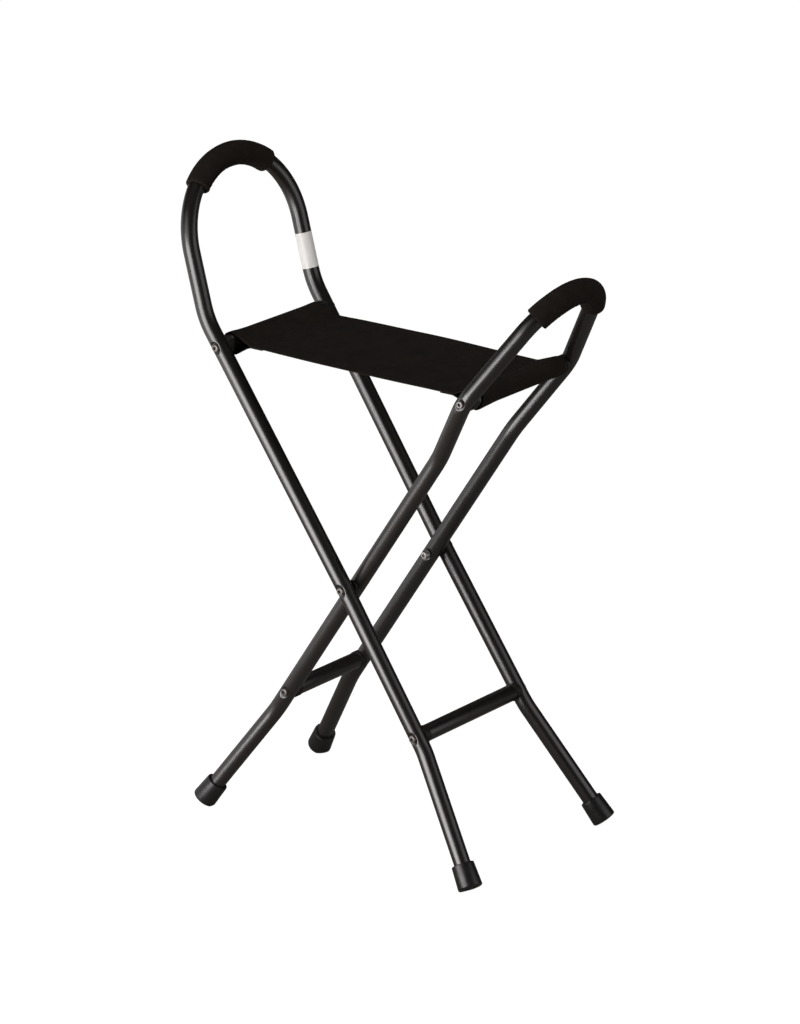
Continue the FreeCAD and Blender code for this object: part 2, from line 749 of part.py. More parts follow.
FERRULE_OUTLINE = (
    ("0", "0"),
    ("dims.sole_groove_inner", "0"),
    ("dims.sole_groove_inner", "dims.sole_groove_depth"),
    ("dims.sole_groove_outer", "dims.sole_groove_depth"),
    ("dims.sole_groove_outer", "0"),
    (SOLE_RADIUS, "0"),
    (RIM_RADIUS, "dims.ferrule_length"),
    (FERRULE_BORE, "dims.ferrule_length"),
    (FERRULE_BORE, "dims.ferrule_sole_thickness"),
    ("0", "dims.ferrule_sole_thickness"),
)


def ferrule(label, placement):
    """A rubber ferrule on the end of a leg, flat where it meets the floor."""
    blank = turned_body(f"{label}_blank", FERRULE_OUTLINE)
    sole = (bound(SOLE_RADIUS), 0)
    rim = (bound(RIM_RADIUS), size("ferrule_length"))
    round_edges(blank, f"{label}_sole_edge", (sole,), "dims.ferrule_sole_radius")
    round_edges(blank, f"{label}_rim_edge", (rim,), "dims.ferrule_rim_radius")
    blank.Placement = placement
    floor = doc.addObject("Part::Box", f"{label}_floor")
    for side_name in ("Length", "Width", "Height"):
        floor.setExpression(side_name, f"4 * {SOLE_RADIUS}")
    half = 2 * bound(SOLE_RADIUS)
    floor.Placement.Base = Vector(placement.Base.x - half, placement.Base.y - half, -2 * half)
    return sub_part(cut(f"{label}_worn", blank, floor), label)


def steel_disc(name, placement):
    """The disc under the end of a leg."""
    body = doc.addObject("PartDesign::Body", name)
    sketch = new_sketch(body, f"{name}_section", "XY_Plane")
    draw_circle(sketch, "dims.tube_diameter / 2")
    pad = body.newObject("PartDesign::Pad", f"{name}_thickness")
    pad.Profile = sketch
    pad.setExpression("Length", "dims.disc_thickness")
    body.Tip = pad
    doc.recompute()
    body.Placement = placement
    return body


for frame, foot, way, lean_placement in (
    ("tall", tall_foot, tall_foot_way, TALL_LEAN),
    ("short", short_foot, short_foot_way, SHORT_LEAN),
):
    discs = []
    for side, sign in SIDES:
        upward = Vector(0, sign * way.y, -way.z)
        sole_centre = Vector(0, -sign * foot.y, foot.z)
        ferrule(f"{frame}_{side}_ferrule", lean_placement * along(sole_centre, upward))
        disc_base = sole_centre + upward * size("ferrule_sole_thickness")
        discs.append(steel_disc(f"{frame}_{side}_disc", along(disc_base, upward)))
    disc_set = group(f"{frame}_disc_set", discs)
    disc_set.Placement = lean_placement
    sub_part(disc_set, f"{frame}_ferrule_discs", solids=len(discs))

# Fabric sling: a sleeve round each seat bar, a two-layer hem, and one layer across the middle. Each
# sleeve narrows along the two lines that touch it and meet at its neck.

seat_z = PIVOT.z + SEAT * math.cos(lean)
seat_reach = SEAT * math.sin(lean)
narrower_half = min(size("tall_seat_half"), size("short_seat_half"))
bar_reach = narrower_half - TUBE_RADIUS - size("collar_thickness")
enter("sling_width", 2 * (bar_reach - size("sling_side_clearance")), "fabric, across the seat")
doc.recompute()
sling_panel = doc.addObject("PartDesign::Body", "sling_panel")
panel_sketch = new_sketch(sling_panel, "sling_panel_edge", "XZ_Plane")
bar_x = "dims.seat_rise * sin(dims.leg_lean * 1 deg)"
touch_x = f"({bar_x} - {SLEEVE_RADIUS} * {SLEEVE_RADIUS} / dims.sleeve_neck)"
touch_z = f"({SLEEVE_RADIUS} * sqrt(1 - ({SLEEVE_RADIUS} / dims.sleeve_neck) ^ 2))"
neck_x = f"({bar_x} - dims.sleeve_neck)"
hem_x = f"({bar_x} - dims.sleeve_neck - dims.hem_overlap)"
right_top = (
    (hem_x, "dims.fabric_thickness / 2"),
    (hem_x, "dims.fabric_thickness"),
    (neck_x, "dims.fabric_thickness"),
    (touch_x, touch_z),
)
right_side = right_top + tuple((x, f"-{z}") for x, z in reversed(right_top))
left_side = tuple((f"-{x}", f"-({z})") for x, z in right_side)
draw_outline(panel_sketch, right_side + left_side)
panel = sling_panel.newObject("PartDesign::Pad", "sling_panel_width")
panel.Profile = panel_sketch
panel.setExpression("Length", "dims.sling_width")
panel.SideType = "Symmetric"
sling_panel.Tip = panel
doc.recompute()
sling_panel.Placement.Base = Vector(PIVOT.x, 0, seat_z)

outer_sleeves = []
bar_spaces = []
for name, sign in (("tall", -1), ("short", 1)):
    start = Vector(PIVOT.x + sign * seat_reach, -size("sling_width") / 2, seat_z)
    outer_sleeves.append(
        cylinder(f"{name}_sleeve", SLEEVE_RADIUS, "dims.sling_width", along(start, ACROSS))
    )
    bar_spaces.append(
        cylinder(f"{name}_bar_space", SLEEVE_BORE, "dims.sling_width", along(start, ACROSS))
    )
sling_blank = doc.addObject("Part::MultiFuse", "sling_blank")
sling_blank.Shapes = [sling_panel] + outer_sleeves
doc.recompute()
sub_part(cut("sling_open_sleeves", sling_blank, group("bar_spaces", bar_spaces)), "seat_sling")

# Plain label round the far leg of the tall loop

far_bend = Vector(tall_bend.x, -tall_bend.y, tall_bend.z)
bend_reach = size("tall_bend_radius") * math.tan(bend / 2)
label_start = far_bend + tall_loop_way * (bend_reach + size("label_above_bend"))
label_turn = Rotation(UP, size("label_facing") - size("label_wrap") / 2)
label_place = Placement(label_start, bend_turn.multiply(label_turn))
label_outer = cylinder(
    "label_outer", f"{LABEL_BORE} + dims.label_thickness", "dims.label_length", label_place
)
label_outer.setExpression("Angle", "dims.label_wrap * 1 deg")
label_inner = cylinder("label_inner", LABEL_BORE, "dims.label_length", label_place)
blank_label = cut("label_wrap_round", label_outer, label_inner)
blank_label.Placement = TALL_LEAN
sub_part(blank_label, "blank_label")

# Checks, then the files

doc.recompute()
for item in doc.Objects:
    if "Invalid" in item.State or "Error" in item.State:
        raise RuntimeError(f"{item.Name} failed: {item.State}")
for item, solids in sub_parts:
    shape = item.Shape
    if shape.isNull() or not shape.isValid():
        raise RuntimeError(f"{item.Label} has no valid shape")
    if len(shape.Solids) != solids:
        raise RuntimeError(f"{item.Label} holds {len(shape.Solids)} solids, not {solids}")

os.makedirs("parts", exist_ok=True)
whole = FreeCAD.BoundBox()
for item, _ in sub_parts:
    item.Shape.exportStep(f"parts/{item.Label}.step")
    for point in item.Shape.tessellate(BOX_ACCURACY)[0]:
        whole.add(point)
print(f"{len(sub_parts)} nodes, box {whole.XLength:.1f} x {whole.YLength:.1f} x {whole.ZLength:.1f}")
print(f"box from {whole.XMin:.2f}, {whole.YMin:.2f}, {whole.ZMin:.2f}", end=" ")
print(f"to {whole.XMax:.2f}, {whole.YMax:.2f}, {whole.ZMax:.2f}; pivot {PIVOT.x:.4f}, {PIVOT.z:.4f}")
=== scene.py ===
# %% [markdown]
# # A folding walking stick seat
# Two frames of bent black tube cross like scissors on a pivot, and a strip of strong cloth hangs
# between their seat bars. The tall frame's loop is the walking handle, the short frame's loop steadies
# the sitter, and both loops wear a foam grip. Rubber ferrules stand the four legs on the floor.
#
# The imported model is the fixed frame. It says where every piece sits, how thick the tube is and where
# the pivot lies, so this script reads those from it and only adds the looks. Lengths are in metres.

import json
import math

import bmesh
import bpy
from mathutils import Matrix, Vector, noise
from mathutils.bvhtree import BVHTree


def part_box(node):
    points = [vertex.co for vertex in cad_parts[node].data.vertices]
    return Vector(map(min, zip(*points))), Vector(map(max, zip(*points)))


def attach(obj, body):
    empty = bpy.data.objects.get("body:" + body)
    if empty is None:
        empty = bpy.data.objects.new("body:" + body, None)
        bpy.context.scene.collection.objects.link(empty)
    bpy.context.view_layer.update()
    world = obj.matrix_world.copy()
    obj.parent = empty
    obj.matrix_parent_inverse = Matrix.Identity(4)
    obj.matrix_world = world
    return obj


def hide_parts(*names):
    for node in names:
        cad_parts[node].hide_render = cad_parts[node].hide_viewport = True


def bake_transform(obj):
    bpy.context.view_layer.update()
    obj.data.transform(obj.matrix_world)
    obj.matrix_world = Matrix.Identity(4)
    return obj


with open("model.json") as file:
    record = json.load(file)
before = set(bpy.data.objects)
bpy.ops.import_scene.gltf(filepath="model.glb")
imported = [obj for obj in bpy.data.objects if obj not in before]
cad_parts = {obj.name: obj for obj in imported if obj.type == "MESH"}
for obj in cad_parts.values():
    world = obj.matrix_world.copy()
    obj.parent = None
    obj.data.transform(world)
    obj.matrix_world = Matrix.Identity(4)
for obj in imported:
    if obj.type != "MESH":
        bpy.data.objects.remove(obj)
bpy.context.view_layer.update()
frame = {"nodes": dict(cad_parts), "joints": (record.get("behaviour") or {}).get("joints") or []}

# %% [markdown]
# # The camera
# A picture taken from far away with a long lens keeps the crossing legs nearly parallel on the paper.
# The camera's place is given as a photographer would say it: which way round the object, how far up,
# how far off, how much the horizon tips, and what it points at. Three axes follow from that, and they
# are the columns of the camera's matrix.

# %% Place the camera
MM = 0.001
ACROSS = Vector((0, 1, 0))
UP = Vector((0, 0, 1))

camera_azimuth = math.radians(38.625)
camera_elevation = math.radians(19.09)
camera_roll = math.radians(-0.508)
camera_distance = 6.5244
camera_target = Vector((-0.00117, 0, 0.43034))
focal_pixels = 5007.7
image_height = 1024
sensor_height = 36

toward_camera = Vector((
    math.sin(camera_azimuth) * math.cos(camera_elevation),
    -math.cos(camera_azimuth) * math.cos(camera_elevation),
    math.sin(camera_elevation),
))
level_right = UP.cross(toward_camera).normalized()
level_up = toward_camera.cross(level_right)
picture_right = level_right * math.cos(camera_roll) + level_up * math.sin(camera_roll)
picture_up = level_up * math.cos(camera_roll) - level_right * math.sin(camera_roll)

scene = bpy.context.scene
lens = bpy.data.cameras.new("camera")
lens.lens = focal_pixels * sensor_height / image_height
lens.sensor_width = sensor_height
camera = bpy.data.objects.new("camera", lens)
scene.collection.objects.link(camera)
stand = Matrix((picture_right, picture_up, toward_camera)).transposed().to_4x4()
camera.matrix_world = Matrix.Translation(camera_target + toward_camera * camera_distance) @ stand
scene.camera = camera
print("lens", round(lens.lens, 1), "mm, camera at", [round(number, 2) for number in camera.location])

# %% [markdown]
# # Nodes
# Materials are trees of nodes. One helper places a node, sets it up and joins its inputs. A few more,
# for sums, ranges and mixes, let each material below read as a list of what is mixed into it.

# %% Helpers that place nodes
WHITE = (1, 1, 1, 1)


def add_node(tree, kind, inputs=None, **settings):
    """Place one node, with its settings and with a value or a link for each input that is named."""
    made = tree.nodes.new(kind)
    for name, setting in settings.items():
        setattr(made, name, setting)
    for name, value in (inputs or {}).items():
        if isinstance(value, bpy.types.NodeSocket):
            tree.links.new(value, made.inputs[name])
        else:
            made.inputs[name].default_value = value
    return made


def arithmetic(tree, operation, first, second=0.0):
    """The outcome of one sum on two numbers or links."""
    return add_node(tree, "ShaderNodeMath", {0: first, 1: second}, operation=operation).outputs[0]


def remap(tree, value, low, high, new_low=0.0, new_high=1.0, **settings):
    """A number stretched from one range to another."""
    ends = {"From Min": low, "From Max": high, "To Min": new_low, "To Max": new_high}
    return add_node(tree, "ShaderNodeMapRange", {"Value": value, **ends}, **settings).outputs["Result"]


def mix_numbers(tree, factor, first, second):
    """One number faded into another."""
    inputs = {0: factor, 2: first, 3: second}
    return add_node(tree, "ShaderNodeMix", inputs, data_type="FLOAT").outputs[0]


def mix_colours(tree, factor, first, second):
    """One colour faded into another."""
    inputs = {0: factor, 6: first, 7: second}
    return add_node(tree, "ShaderNodeMix", inputs, data_type="RGBA").outputs[2]


def scale_colour(tree, colour, factor):
    """A colour made lighter or darker."""
    inputs = {0: colour, "Scale": factor}
    return add_node(tree, "ShaderNodeVectorMath", inputs, operation="SCALE").outputs[0]


# %% [markdown]
# # The studio
# Black things are lit by what they mirror. A soft box stands on the near side, left of the camera, so
# each tall leg carries one broad pale streak, and a dim card above it lets the streak fade out upwards.
# The short legs lean the other way and mirror what is low on the left, so two white cards stand there.
# A dim box on the right gives the faint second streak, and one overhead shapes the foam and the cloth.
#
# The world is plain white where the camera sees it. In reflections it is a dim room, a little brighter
# behind the object, and for matt surfaces it is an even fill.

# %% The world
AMBIENT = 0.38
DIM_ROOM = 0.01
ROOM_BEHIND = 0.06
BEHIND_STARTS = 0.55
BEHIND_ENDS = 0.95

world = bpy.data.worlds.new("studio")
world.use_nodes = True
scene.world = world
sky = world.node_tree
sky.nodes.clear()
path = add_node(sky, "ShaderNodeLightPath").outputs
mirrored = arithmetic(sky, "MAXIMUM", path["Is Glossy Ray"], path["Is Transmission Ray"])
direction = add_node(sky, "ShaderNodeTexCoord").outputs["Generated"]
behind = add_node(
    sky, "ShaderNodeVectorMath", {0: direction, 1: -toward_camera}, operation="DOT_PRODUCT"
).outputs["Value"]
room = remap(
    sky, behind, BEHIND_STARTS, BEHIND_ENDS, DIM_ROOM, ROOM_BEHIND, interpolation_type="SMOOTHSTEP"
)
unseen = mix_numbers(sky, mirrored, AMBIENT, room)
strength = mix_numbers(sky, path["Is Camera Ray"], unseen, 1.0)
background = add_node(sky, "ShaderNodeBackground", {"Color": WHITE, "Strength": strength})
add_node(sky, "ShaderNodeOutputWorld", {"Surface": background.outputs[0]})
scene.view_settings.view_transform = "Standard"
print("world nodes", len(sky.nodes))

# %% [markdown]
# The floor is pale and matt, and takes the object's shadow. For the camera it also glows up to paper
# white, which hides the horizon without putting more light on the object. Mirrored rays get a small
# share of that glow, as a black tube stands on it.

# %% The floor
FLOOR_HALF = 16.0
FLOOR_COLOUR = (0.17, 0.16, 0.15, 1)
CAMERA_GLOW = 0.95
MIRROR_GLOW = 0.02

pale = bpy.data.materials.new("pale_floor")
pale.use_nodes = True
tree = pale.node_tree
tree.nodes.clear()
path = add_node(tree, "ShaderNodeLightPath").outputs
mirrored = arithmetic(tree, "MAXIMUM", path["Is Glossy Ray"], path["Is Transmission Ray"])
seen_glow = arithmetic(tree, "MULTIPLY", path["Is Camera Ray"], CAMERA_GLOW)
mirrored_glow = arithmetic(tree, "MULTIPLY", mirrored, MIRROR_GLOW)
lift = arithmetic(tree, "ADD", seen_glow, mirrored_glow)
matt = add_node(tree, "ShaderNodeBsdfDiffuse", {"Color": FLOOR_COLOUR}).outputs[0]
glow = add_node(tree, "ShaderNodeEmission", {"Color": WHITE, "Strength": lift}).outputs[0]
both = add_node(tree, "ShaderNodeAddShader", {0: matt, 1: glow}).outputs[0]
add_node(tree, "ShaderNodeOutputMaterial", {"Surface": both})

bm = bmesh.new()
bmesh.ops.create_grid(bm, x_segments=1, y_segments=1, size=FLOOR_HALF)
floor_mesh = bpy.data.meshes.new("floor")
bm.to_mesh(floor_mesh)
bm.free()
floor = bpy.data.objects.new("floor", floor_mesh)
scene.collection.objects.link(floor)
floor_mesh.materials.append(pale)
print("floor", FLOOR_HALF * 2, "m square")

# %% [markdown]
# A soft box is given by its brightness, the same at every distance, because that is what a mirror shows.
# The lamp's power follows from its brightness and its area.

# %% The soft boxes
OBJECT_MIDDLE = (0, 0, 0.45)
WARM_WHITE = (1.0, 0.965, 0.97)


def soft_box(name, place, aim, width, height, brightness):
    """A rectangular light of so much brightness that faces a point and isn't itself seen."""
    lamp = bpy.data.lights.new(name, "AREA")
    lamp.shape = "RECTANGLE"
    lamp.size = width
    lamp.size_y = height
    lamp.color = WARM_WHITE
    lamp.energy = brightness * math.pi * width * height
    box = bpy.data.objects.new(name, lamp)
    scene.collection.objects.link(box)
    box.location = place
    box.rotation_euler = (Vector(place) - Vector(aim)).to_track_quat("Z", "Y").to_euler()
    box.visible_camera = False


soft_box("tall_box", (-0.24, -1.5, 0.50), OBJECT_MIDDLE, 1.16, 0.95, 6.3)
soft_box("upper_card", (-0.2, -1.5, 1.35), OBJECT_MIDDLE, 1.3, 0.75, 1.0)
soft_box("low_card", (-0.52, -1.03, 0.14), (-0.1, -0.1, 0.45), 1.15, 0.42, 1.2)
soft_box("left_card", (-1.05, -0.3, 0.50), OBJECT_MIDDLE, 1.3, 0.95, 0.58)
soft_box("right_box", (1.65, 0.44, 0.70), OBJECT_MIDDLE, 1.5, 1.35, 0.95)
soft_box("overhead_box", (-0.2, 0.5, 2.4), OBJECT_MIDDLE, 1.4, 1.4, 0.9)

# %% [markdown]
# # Effects that several finishes share
# Grain, uneven tone, uneven gloss, rubbed edges with painted shade in hollows, and weave each become a
# node group with named inputs.
# A group is built once and placed in every material that needs it, with that material's own numbers.

# %% Helpers for groups
FLOAT = "NodeSocketFloat"
COLOUR = "NodeSocketColor"
CLOUD_LOW = 0.3
CLOUD_HIGH = 0.7


def new_group(name, inputs, outputs):
    """An empty group with its sockets, its input node's outputs and its output node's inputs."""
    group = bpy.data.node_groups.new(name, "ShaderNodeTree")
    for label, kind, value in inputs:
        socket = group.interface.new_socket(label, in_out="INPUT", socket_type=kind)
        socket.default_value = value
    for label, kind in outputs:
        group.interface.new_socket(label, in_out="OUTPUT", socket_type=kind)
    return group, group.nodes.new("NodeGroupInput").outputs, group.nodes.new("NodeGroupOutput").inputs


def use_group(tree, group, inputs):
    """One copy of a group in a material, and its outputs."""
    return add_node(tree, "ShaderNodeGroup", inputs, node_tree=group).outputs


def object_noise(tree, scale, detail, **more):
    """Cloudy noise that is fixed to the object."""
    place = add_node(tree, "ShaderNodeTexCoord").outputs["Object"]
    inputs = {"Vector": place, "Scale": scale, "Detail": detail, **more}
    return add_node(tree, "ShaderNodeTexNoise", inputs).outputs["Fac"]


def vary(tree, middle, spread, scale, detail):
    """A number that the noise moves up and down by a spread."""
    low = arithmetic(tree, "SUBTRACT", middle, spread)
    high = arithmetic(tree, "ADD", middle, spread)
    return remap(tree, object_noise(tree, scale, detail), CLOUD_LOW, CLOUD_HIGH, low, high)


# %% Grain: the small roughness of a sprayed or moulded skin
grain_group, given, result = new_group(
    "grain", (("Scale", FLOAT, 500.0), ("Detail", FLOAT, 3.0)), (("Height", FLOAT),)
)
bumps = object_noise(grain_group, given["Scale"], given["Detail"], Roughness=0.6)
grain_group.links.new(bumps, result["Height"])

# %% Uneven tone: a colour a little lighter here and darker there
tone_group, given, result = new_group(
    "uneven_tone",
    (("Color", COLOUR, (0.5, 0.5, 0.5, 1)), ("Scale", FLOAT, 20.0), ("Spread", FLOAT, 0.15)),
    (("Color", COLOUR),),
)
factor = vary(tone_group, 1.0, given["Spread"], given["Scale"], detail=4.0)
tone_group.links.new(scale_colour(tone_group, given["Color"], factor), result["Color"])

# %% Uneven gloss: where hands and boxes have polished or dulled the skin
gloss_group, given, result = new_group(
    "uneven_gloss",
    (("Roughness", FLOAT, 0.4), ("Scale", FLOAT, 30.0), ("Spread", FLOAT, 0.05)),
    (("Roughness", FLOAT),),
)
varied = vary(gloss_group, given["Roughness"], given["Spread"], given["Scale"], detail=5.0)
gloss_group.links.new(varied, result["Roughness"])

# %% Rubbed edges and painted shade in hollows: two masks from how sharply the surface turns
PATCH_SCALE = 260.0
SHARPEST = 0.75
HOLLOW_STARTS = 0.48
HOLLOW_ENDS = 0.38
edge_and_shade_group, given, result = new_group(
    "rubbed_edges_and_shaded_hollows",
    (("Sharpness", FLOAT, 0.55), ("Amount", FLOAT, 0.5)),
    (("Mask", FLOAT), ("Hollow", FLOAT)),
)
turn = add_node(edge_and_shade_group, "ShaderNodeNewGeometry").outputs["Pointiness"]
edge = remap(edge_and_shade_group, turn, given["Sharpness"], SHARPEST)
patches = object_noise(edge_and_shade_group, PATCH_SCALE, detail=4.0)
broken = arithmetic(edge_and_shade_group, "MULTIPLY", edge, patches)
mask = arithmetic(edge_and_shade_group, "MULTIPLY", broken, given["Amount"])
edge_and_shade_group.links.new(mask, result["Mask"])
# the Hollow mask marks where painted shade darkens the hollows
edge_and_shade_group.links.new(remap(edge_and_shade_group, turn, HOLLOW_STARTS, HOLLOW_ENDS), result["Hollow"])

# %% Weave: threads that pass over and under, from the cloth's own map
CROSSING_SOFTNESS = 0.25
weave_group, given, result = new_group("weave", (("Pitch", FLOAT, 0.0008),), (("Height", FLOAT),))
cloth_map = add_node(weave_group, "ShaderNodeUVMap", uv_map="cloth").outputs[0]
parts = add_node(weave_group, "ShaderNodeSeparateXYZ", {0: cloth_map}).outputs
turns = arithmetic(weave_group, "DIVIDE", math.pi, given["Pitch"])
along = arithmetic(weave_group, "SINE", arithmetic(weave_group, "MULTIPLY", parts[0], turns))
over = arithmetic(weave_group, "SINE", arithmetic(weave_group, "MULTIPLY", parts[1], turns))
warp = arithmetic(weave_group, "ABSOLUTE", along)
weft = arithmetic(weave_group, "ABSOLUTE", over)
crossing = arithmetic(weave_group, "MULTIPLY", along, over)
on_top = remap(
    weave_group, crossing, -CROSSING_SOFTNESS, CROSSING_SOFTNESS, interpolation_type="SMOOTHSTEP"
)
weave_group.links.new(mix_numbers(weave_group, on_top, weft, warp), result["Height"])
print("shared effects", [group.name for group in bpy.data.node_groups])

# %% [markdown]
# # The finishes
# Every finish is a Principled shader. The groups feed its colour, roughness and bumps, and what is the
# same all over, such as how strongly it mirrors, is set on the shader itself. Most finishes differ only
# in their numbers, so one function makes them, and foam and cloth add their own pores and threads.


# %% A helper that makes a finish
def shader_of(tree, socket):
    """One of the inputs of a finish's Principled shader."""
    return tree.nodes["Principled BSDF"].inputs[socket]


def add_bump(tree, height, depth):
    """Bend the shader's normal by a height that stands for so many millimetres."""
    bump = add_node(tree, "ShaderNodeBump", {"Height": height, "Distance": depth * MM, "Strength": 1.0})
    tree.links.new(bump.outputs["Normal"], shader_of(tree, "Normal"))


def new_finish(name, tone, gloss, grain=None, wear=None, hollow_shade=None, specular=0.5, metallic=0.0):
    """A material with its tone, its gloss and, where they are given, its grain, wear and painted shade
    in hollows.

    tone is a colour, a pattern scale and a spread, and gloss a roughness, a pattern scale and a spread.
    grain is a scale, a detail and a depth in millimetres. wear is how sharp an edge must be, how much
    is rubbed off and the colour below. hollow_shade is the colour of the painted shade that darkens the
    hollows.
    """
    material = bpy.data.materials.new(name)
    material.use_nodes = True
    tree = material.node_tree
    shader_of(tree, "Specular IOR Level").default_value = specular
    shader_of(tree, "Metallic").default_value = metallic
    colour = use_group(tree, tone_group, dict(zip(("Color", "Scale", "Spread"), tone)))["Color"]
    if wear:
        edges = use_group(tree, edge_and_shade_group, dict(zip(("Sharpness", "Amount"), wear)))
        # painted shade: hollows such as screw sockets are darkened as if shade fell in them
        if hollow_shade:
            colour = mix_colours(tree, edges["Hollow"], colour, hollow_shade)
        colour = mix_colours(tree, edges["Mask"], colour, wear[2])
    tree.links.new(colour, shader_of(tree, "Base Color"))
    rough = use_group(tree, gloss_group, dict(zip(("Roughness", "Scale", "Spread"), gloss)))
    tree.links.new(rough["Roughness"], shader_of(tree, "Roughness"))
    if grain:
        skin = use_group(tree, grain_group, dict(zip(("Scale", "Detail"), grain)))
        add_bump(tree, skin["Height"], grain[2])
    return material


# %% Paint, plastic and metals
paint = new_finish(
    "black_paint",
    tone=((0.0070, 0.0052, 0.0041, 1), 24.0, 0.12),
    gloss=(0.30, 40.0, 0.02),
    grain=(620.0, 2.0, 0.002),
    wear=(0.56, 0.35, (0.05, 0.05, 0.052, 1)),
    specular=1.0,
)
plastic = new_finish(
    "moulded_plastic",
    tone=((0.0115, 0.0095, 0.008, 1), 60.0, 0.15),
    gloss=(0.50, 90.0, 0.06),
    grain=(1500.0, 3.0, 0.03),
    wear=(0.55, 0.4, (0.06, 0.06, 0.06, 1)),
    specular=0.35,
)


def plated(name, colour, worn_colour):
    """A plated metal with painted shade in its hollows and wear on its edges."""
    return new_finish(
        name,
        tone=(colour, 300.0, 0.10),
        gloss=(0.46, 700.0, 0.05),
        grain=(2600.0, 2.0, 0.003),
        wear=(0.56, 0.6, worn_colour),
        # painted shade: the colour laid into hollows such as the sockets
        hollow_shade=(0.02, 0.016, 0.014, 1),
        metallic=1.0,
    )


steel = plated("plated_steel", (0.20, 0.187, 0.178, 1), (0.55, 0.53, 0.50, 1))
zinc = plated("zinc_plate", (0.47, 0.46, 0.45, 1), (0.72, 0.71, 0.70, 1))
dull_steel = new_finish(
    "dull_steel", tone=((0.35, 0.34, 0.33, 1), 200.0, 0.15), gloss=(0.45, 500.0, 0.08), metallic=1.0
)

# %% Rubber, label film and thread
rubber = new_finish(
    "moulded_rubber",
    tone=((0.0085, 0.0078, 0.0075, 1), 70.0, 0.15),
    gloss=(0.34, 120.0, 0.05),
    grain=(900.0, 4.0, 0.035),
    wear=(0.55, 0.5, (0.05, 0.048, 0.046, 1)),
)
film = new_finish(
    "white_film",
    tone=((0.80, 0.79, 0.76, 1), 120.0, 0.02),
    gloss=(0.34, 150.0, 0.04),
    grain=(130.0, 2.0, 0.01),
)
thread = new_finish(
    "sewing_thread",
    tone=((0.016, 0.0155, 0.015, 1), 400.0, 0.3),
    gloss=(0.55, 500.0, 0.08),
    grain=(4000.0, 2.0, 0.05),
    specular=0.3,
)

# %% Foam, with its pores
PORE_SCALE = 1300.0
PORE_SHARE = 0.7
FOAM_RELIEF = 0.16

foam = new_finish(
    "foam_skin",
    tone=((0.0132, 0.0098, 0.0076, 1), 90.0, 0.18),
    gloss=(0.85, 150.0, 0.06),
    specular=0.12,
)
tree = foam.node_tree
place = add_node(tree, "ShaderNodeTexCoord").outputs["Object"]
pores = add_node(tree, "ShaderNodeTexVoronoi", {"Vector": place, "Scale": PORE_SCALE}, feature="F1")
swell = use_group(tree, grain_group, {"Scale": 240.0, "Detail": 3.0})["Height"]
cells = arithmetic(tree, "MULTIPLY", pores.outputs["Distance"], PORE_SHARE)
add_bump(tree, arithmetic(tree, "ADD", cells, swell), FOAM_RELIEF)

# %% Woven cloth, with painted shade between its threads and painted light on their tops
CLOTH_PITCH = 0.75 * MM
THREAD_TOP = 0.6
GAP_SHADE = 0.55
TOP_SHADE = 1.1
FUZZ_SHARE = 0.4
CLOTH_RELIEF = 0.16

cloth = new_finish(
    "woven_cloth",
    tone=((0.0155, 0.0119, 0.0094, 1), 35.0, 0.15),
    gloss=(0.80, 60.0, 0.06),
    specular=0.10,
)
tree = cloth.node_tree
base = shader_of(tree, "Base Color")
weave = use_group(tree, weave_group, {"Pitch": CLOTH_PITCH})["Height"]
# painted shade in the gaps between threads, painted light on their tops
shade = remap(tree, weave, 0.0, THREAD_TOP, GAP_SHADE, TOP_SHADE)
tree.links.new(scale_colour(tree, base.links[0].from_socket, shade), base)
fuzz = use_group(tree, grain_group, {"Scale": 2500.0, "Detail": 3.0})["Height"]
fuzz = arithmetic(tree, "MULTIPLY", fuzz, FUZZ_SHARE)
add_bump(tree, arithmetic(tree, "ADD", weave, fuzz), CLOTH_RELIEF)
print("finishes", len(bpy.data.materials))

# %% [markdown]
# # Sizes that come from the frame
# The bars are straight pieces of the same tube, so one bar's thickness is the tube's. The line from the
# pivot to a seat bar gives the lean of a frame, and each frame is then drawn upright in its own plane:
# across is Y with the near side negative, rise is the distance up the leg from the pivot, and one
# matrix leans the finished piece over.

# %% Read the frame
COLLAR = 4 * MM
SHORT_LEG_HALF = 77.5 * MM
pivot = Vector(frame["joints"][0]["pos_m"])


def middle_of(node):
    """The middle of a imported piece's box."""
    low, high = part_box(node)
    return (low + high) / 2


def width_of(node):
    """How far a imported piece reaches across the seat."""
    low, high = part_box(node)
    return high.y - low.y


low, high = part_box("tall_seat_bar")
TUBE_RADIUS = (high.z - low.z) / 2
to_seat = middle_of("tall_seat_bar") - pivot
SEAT_RISE = to_seat.length
LOWER_RISE = -(middle_of("tall_lower_bar") - pivot).length
STATION_RISE = {"seat": SEAT_RISE, "lower": LOWER_RISE}
LEAN = math.atan2(-to_seat.x, to_seat.z)
LEAN_OF = {
    name: Matrix.Translation(pivot) @ Matrix.Rotation(angle, 4, "Y")
    for name, angle in (("tall", -LEAN), ("short", LEAN))
}
HALF = {
    (frame_name, station): width_of(f"{frame_name}_{station}_bar") / 2 + COLLAR + TUBE_RADIUS
    for frame_name in LEAN_OF
    for station in STATION_RISE
}
HALF["tall", "pivot"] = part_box("far_pivot_spacer")[1].y + TUBE_RADIUS
HALF["short", "pivot"] = SHORT_LEG_HALF
print("tube", round(TUBE_RADIUS * 2000, 2), "mm, lean", round(math.degrees(LEAN), 2), "degrees")
print("seat", round(SEAT_RISE * 1000, 1), "lower bar", round(LOWER_RISE * 1000, 1), "mm from the pivot")
print({key: round(value * 1000, 2) for key, value in HALF.items()})

# %% [markdown]
# # Feeding and bending
# A tube bender does two things: it pushes the tube straight on, and it swings it round a former. The
# spin operator does both. With an angle of zero and a shift it feeds, and with an angle it bends. It
# works the same on a ring of edges, on a single point and on a row of edges, so the tubes, the grips,
# the label and the cloth are all led along their way by these two functions.

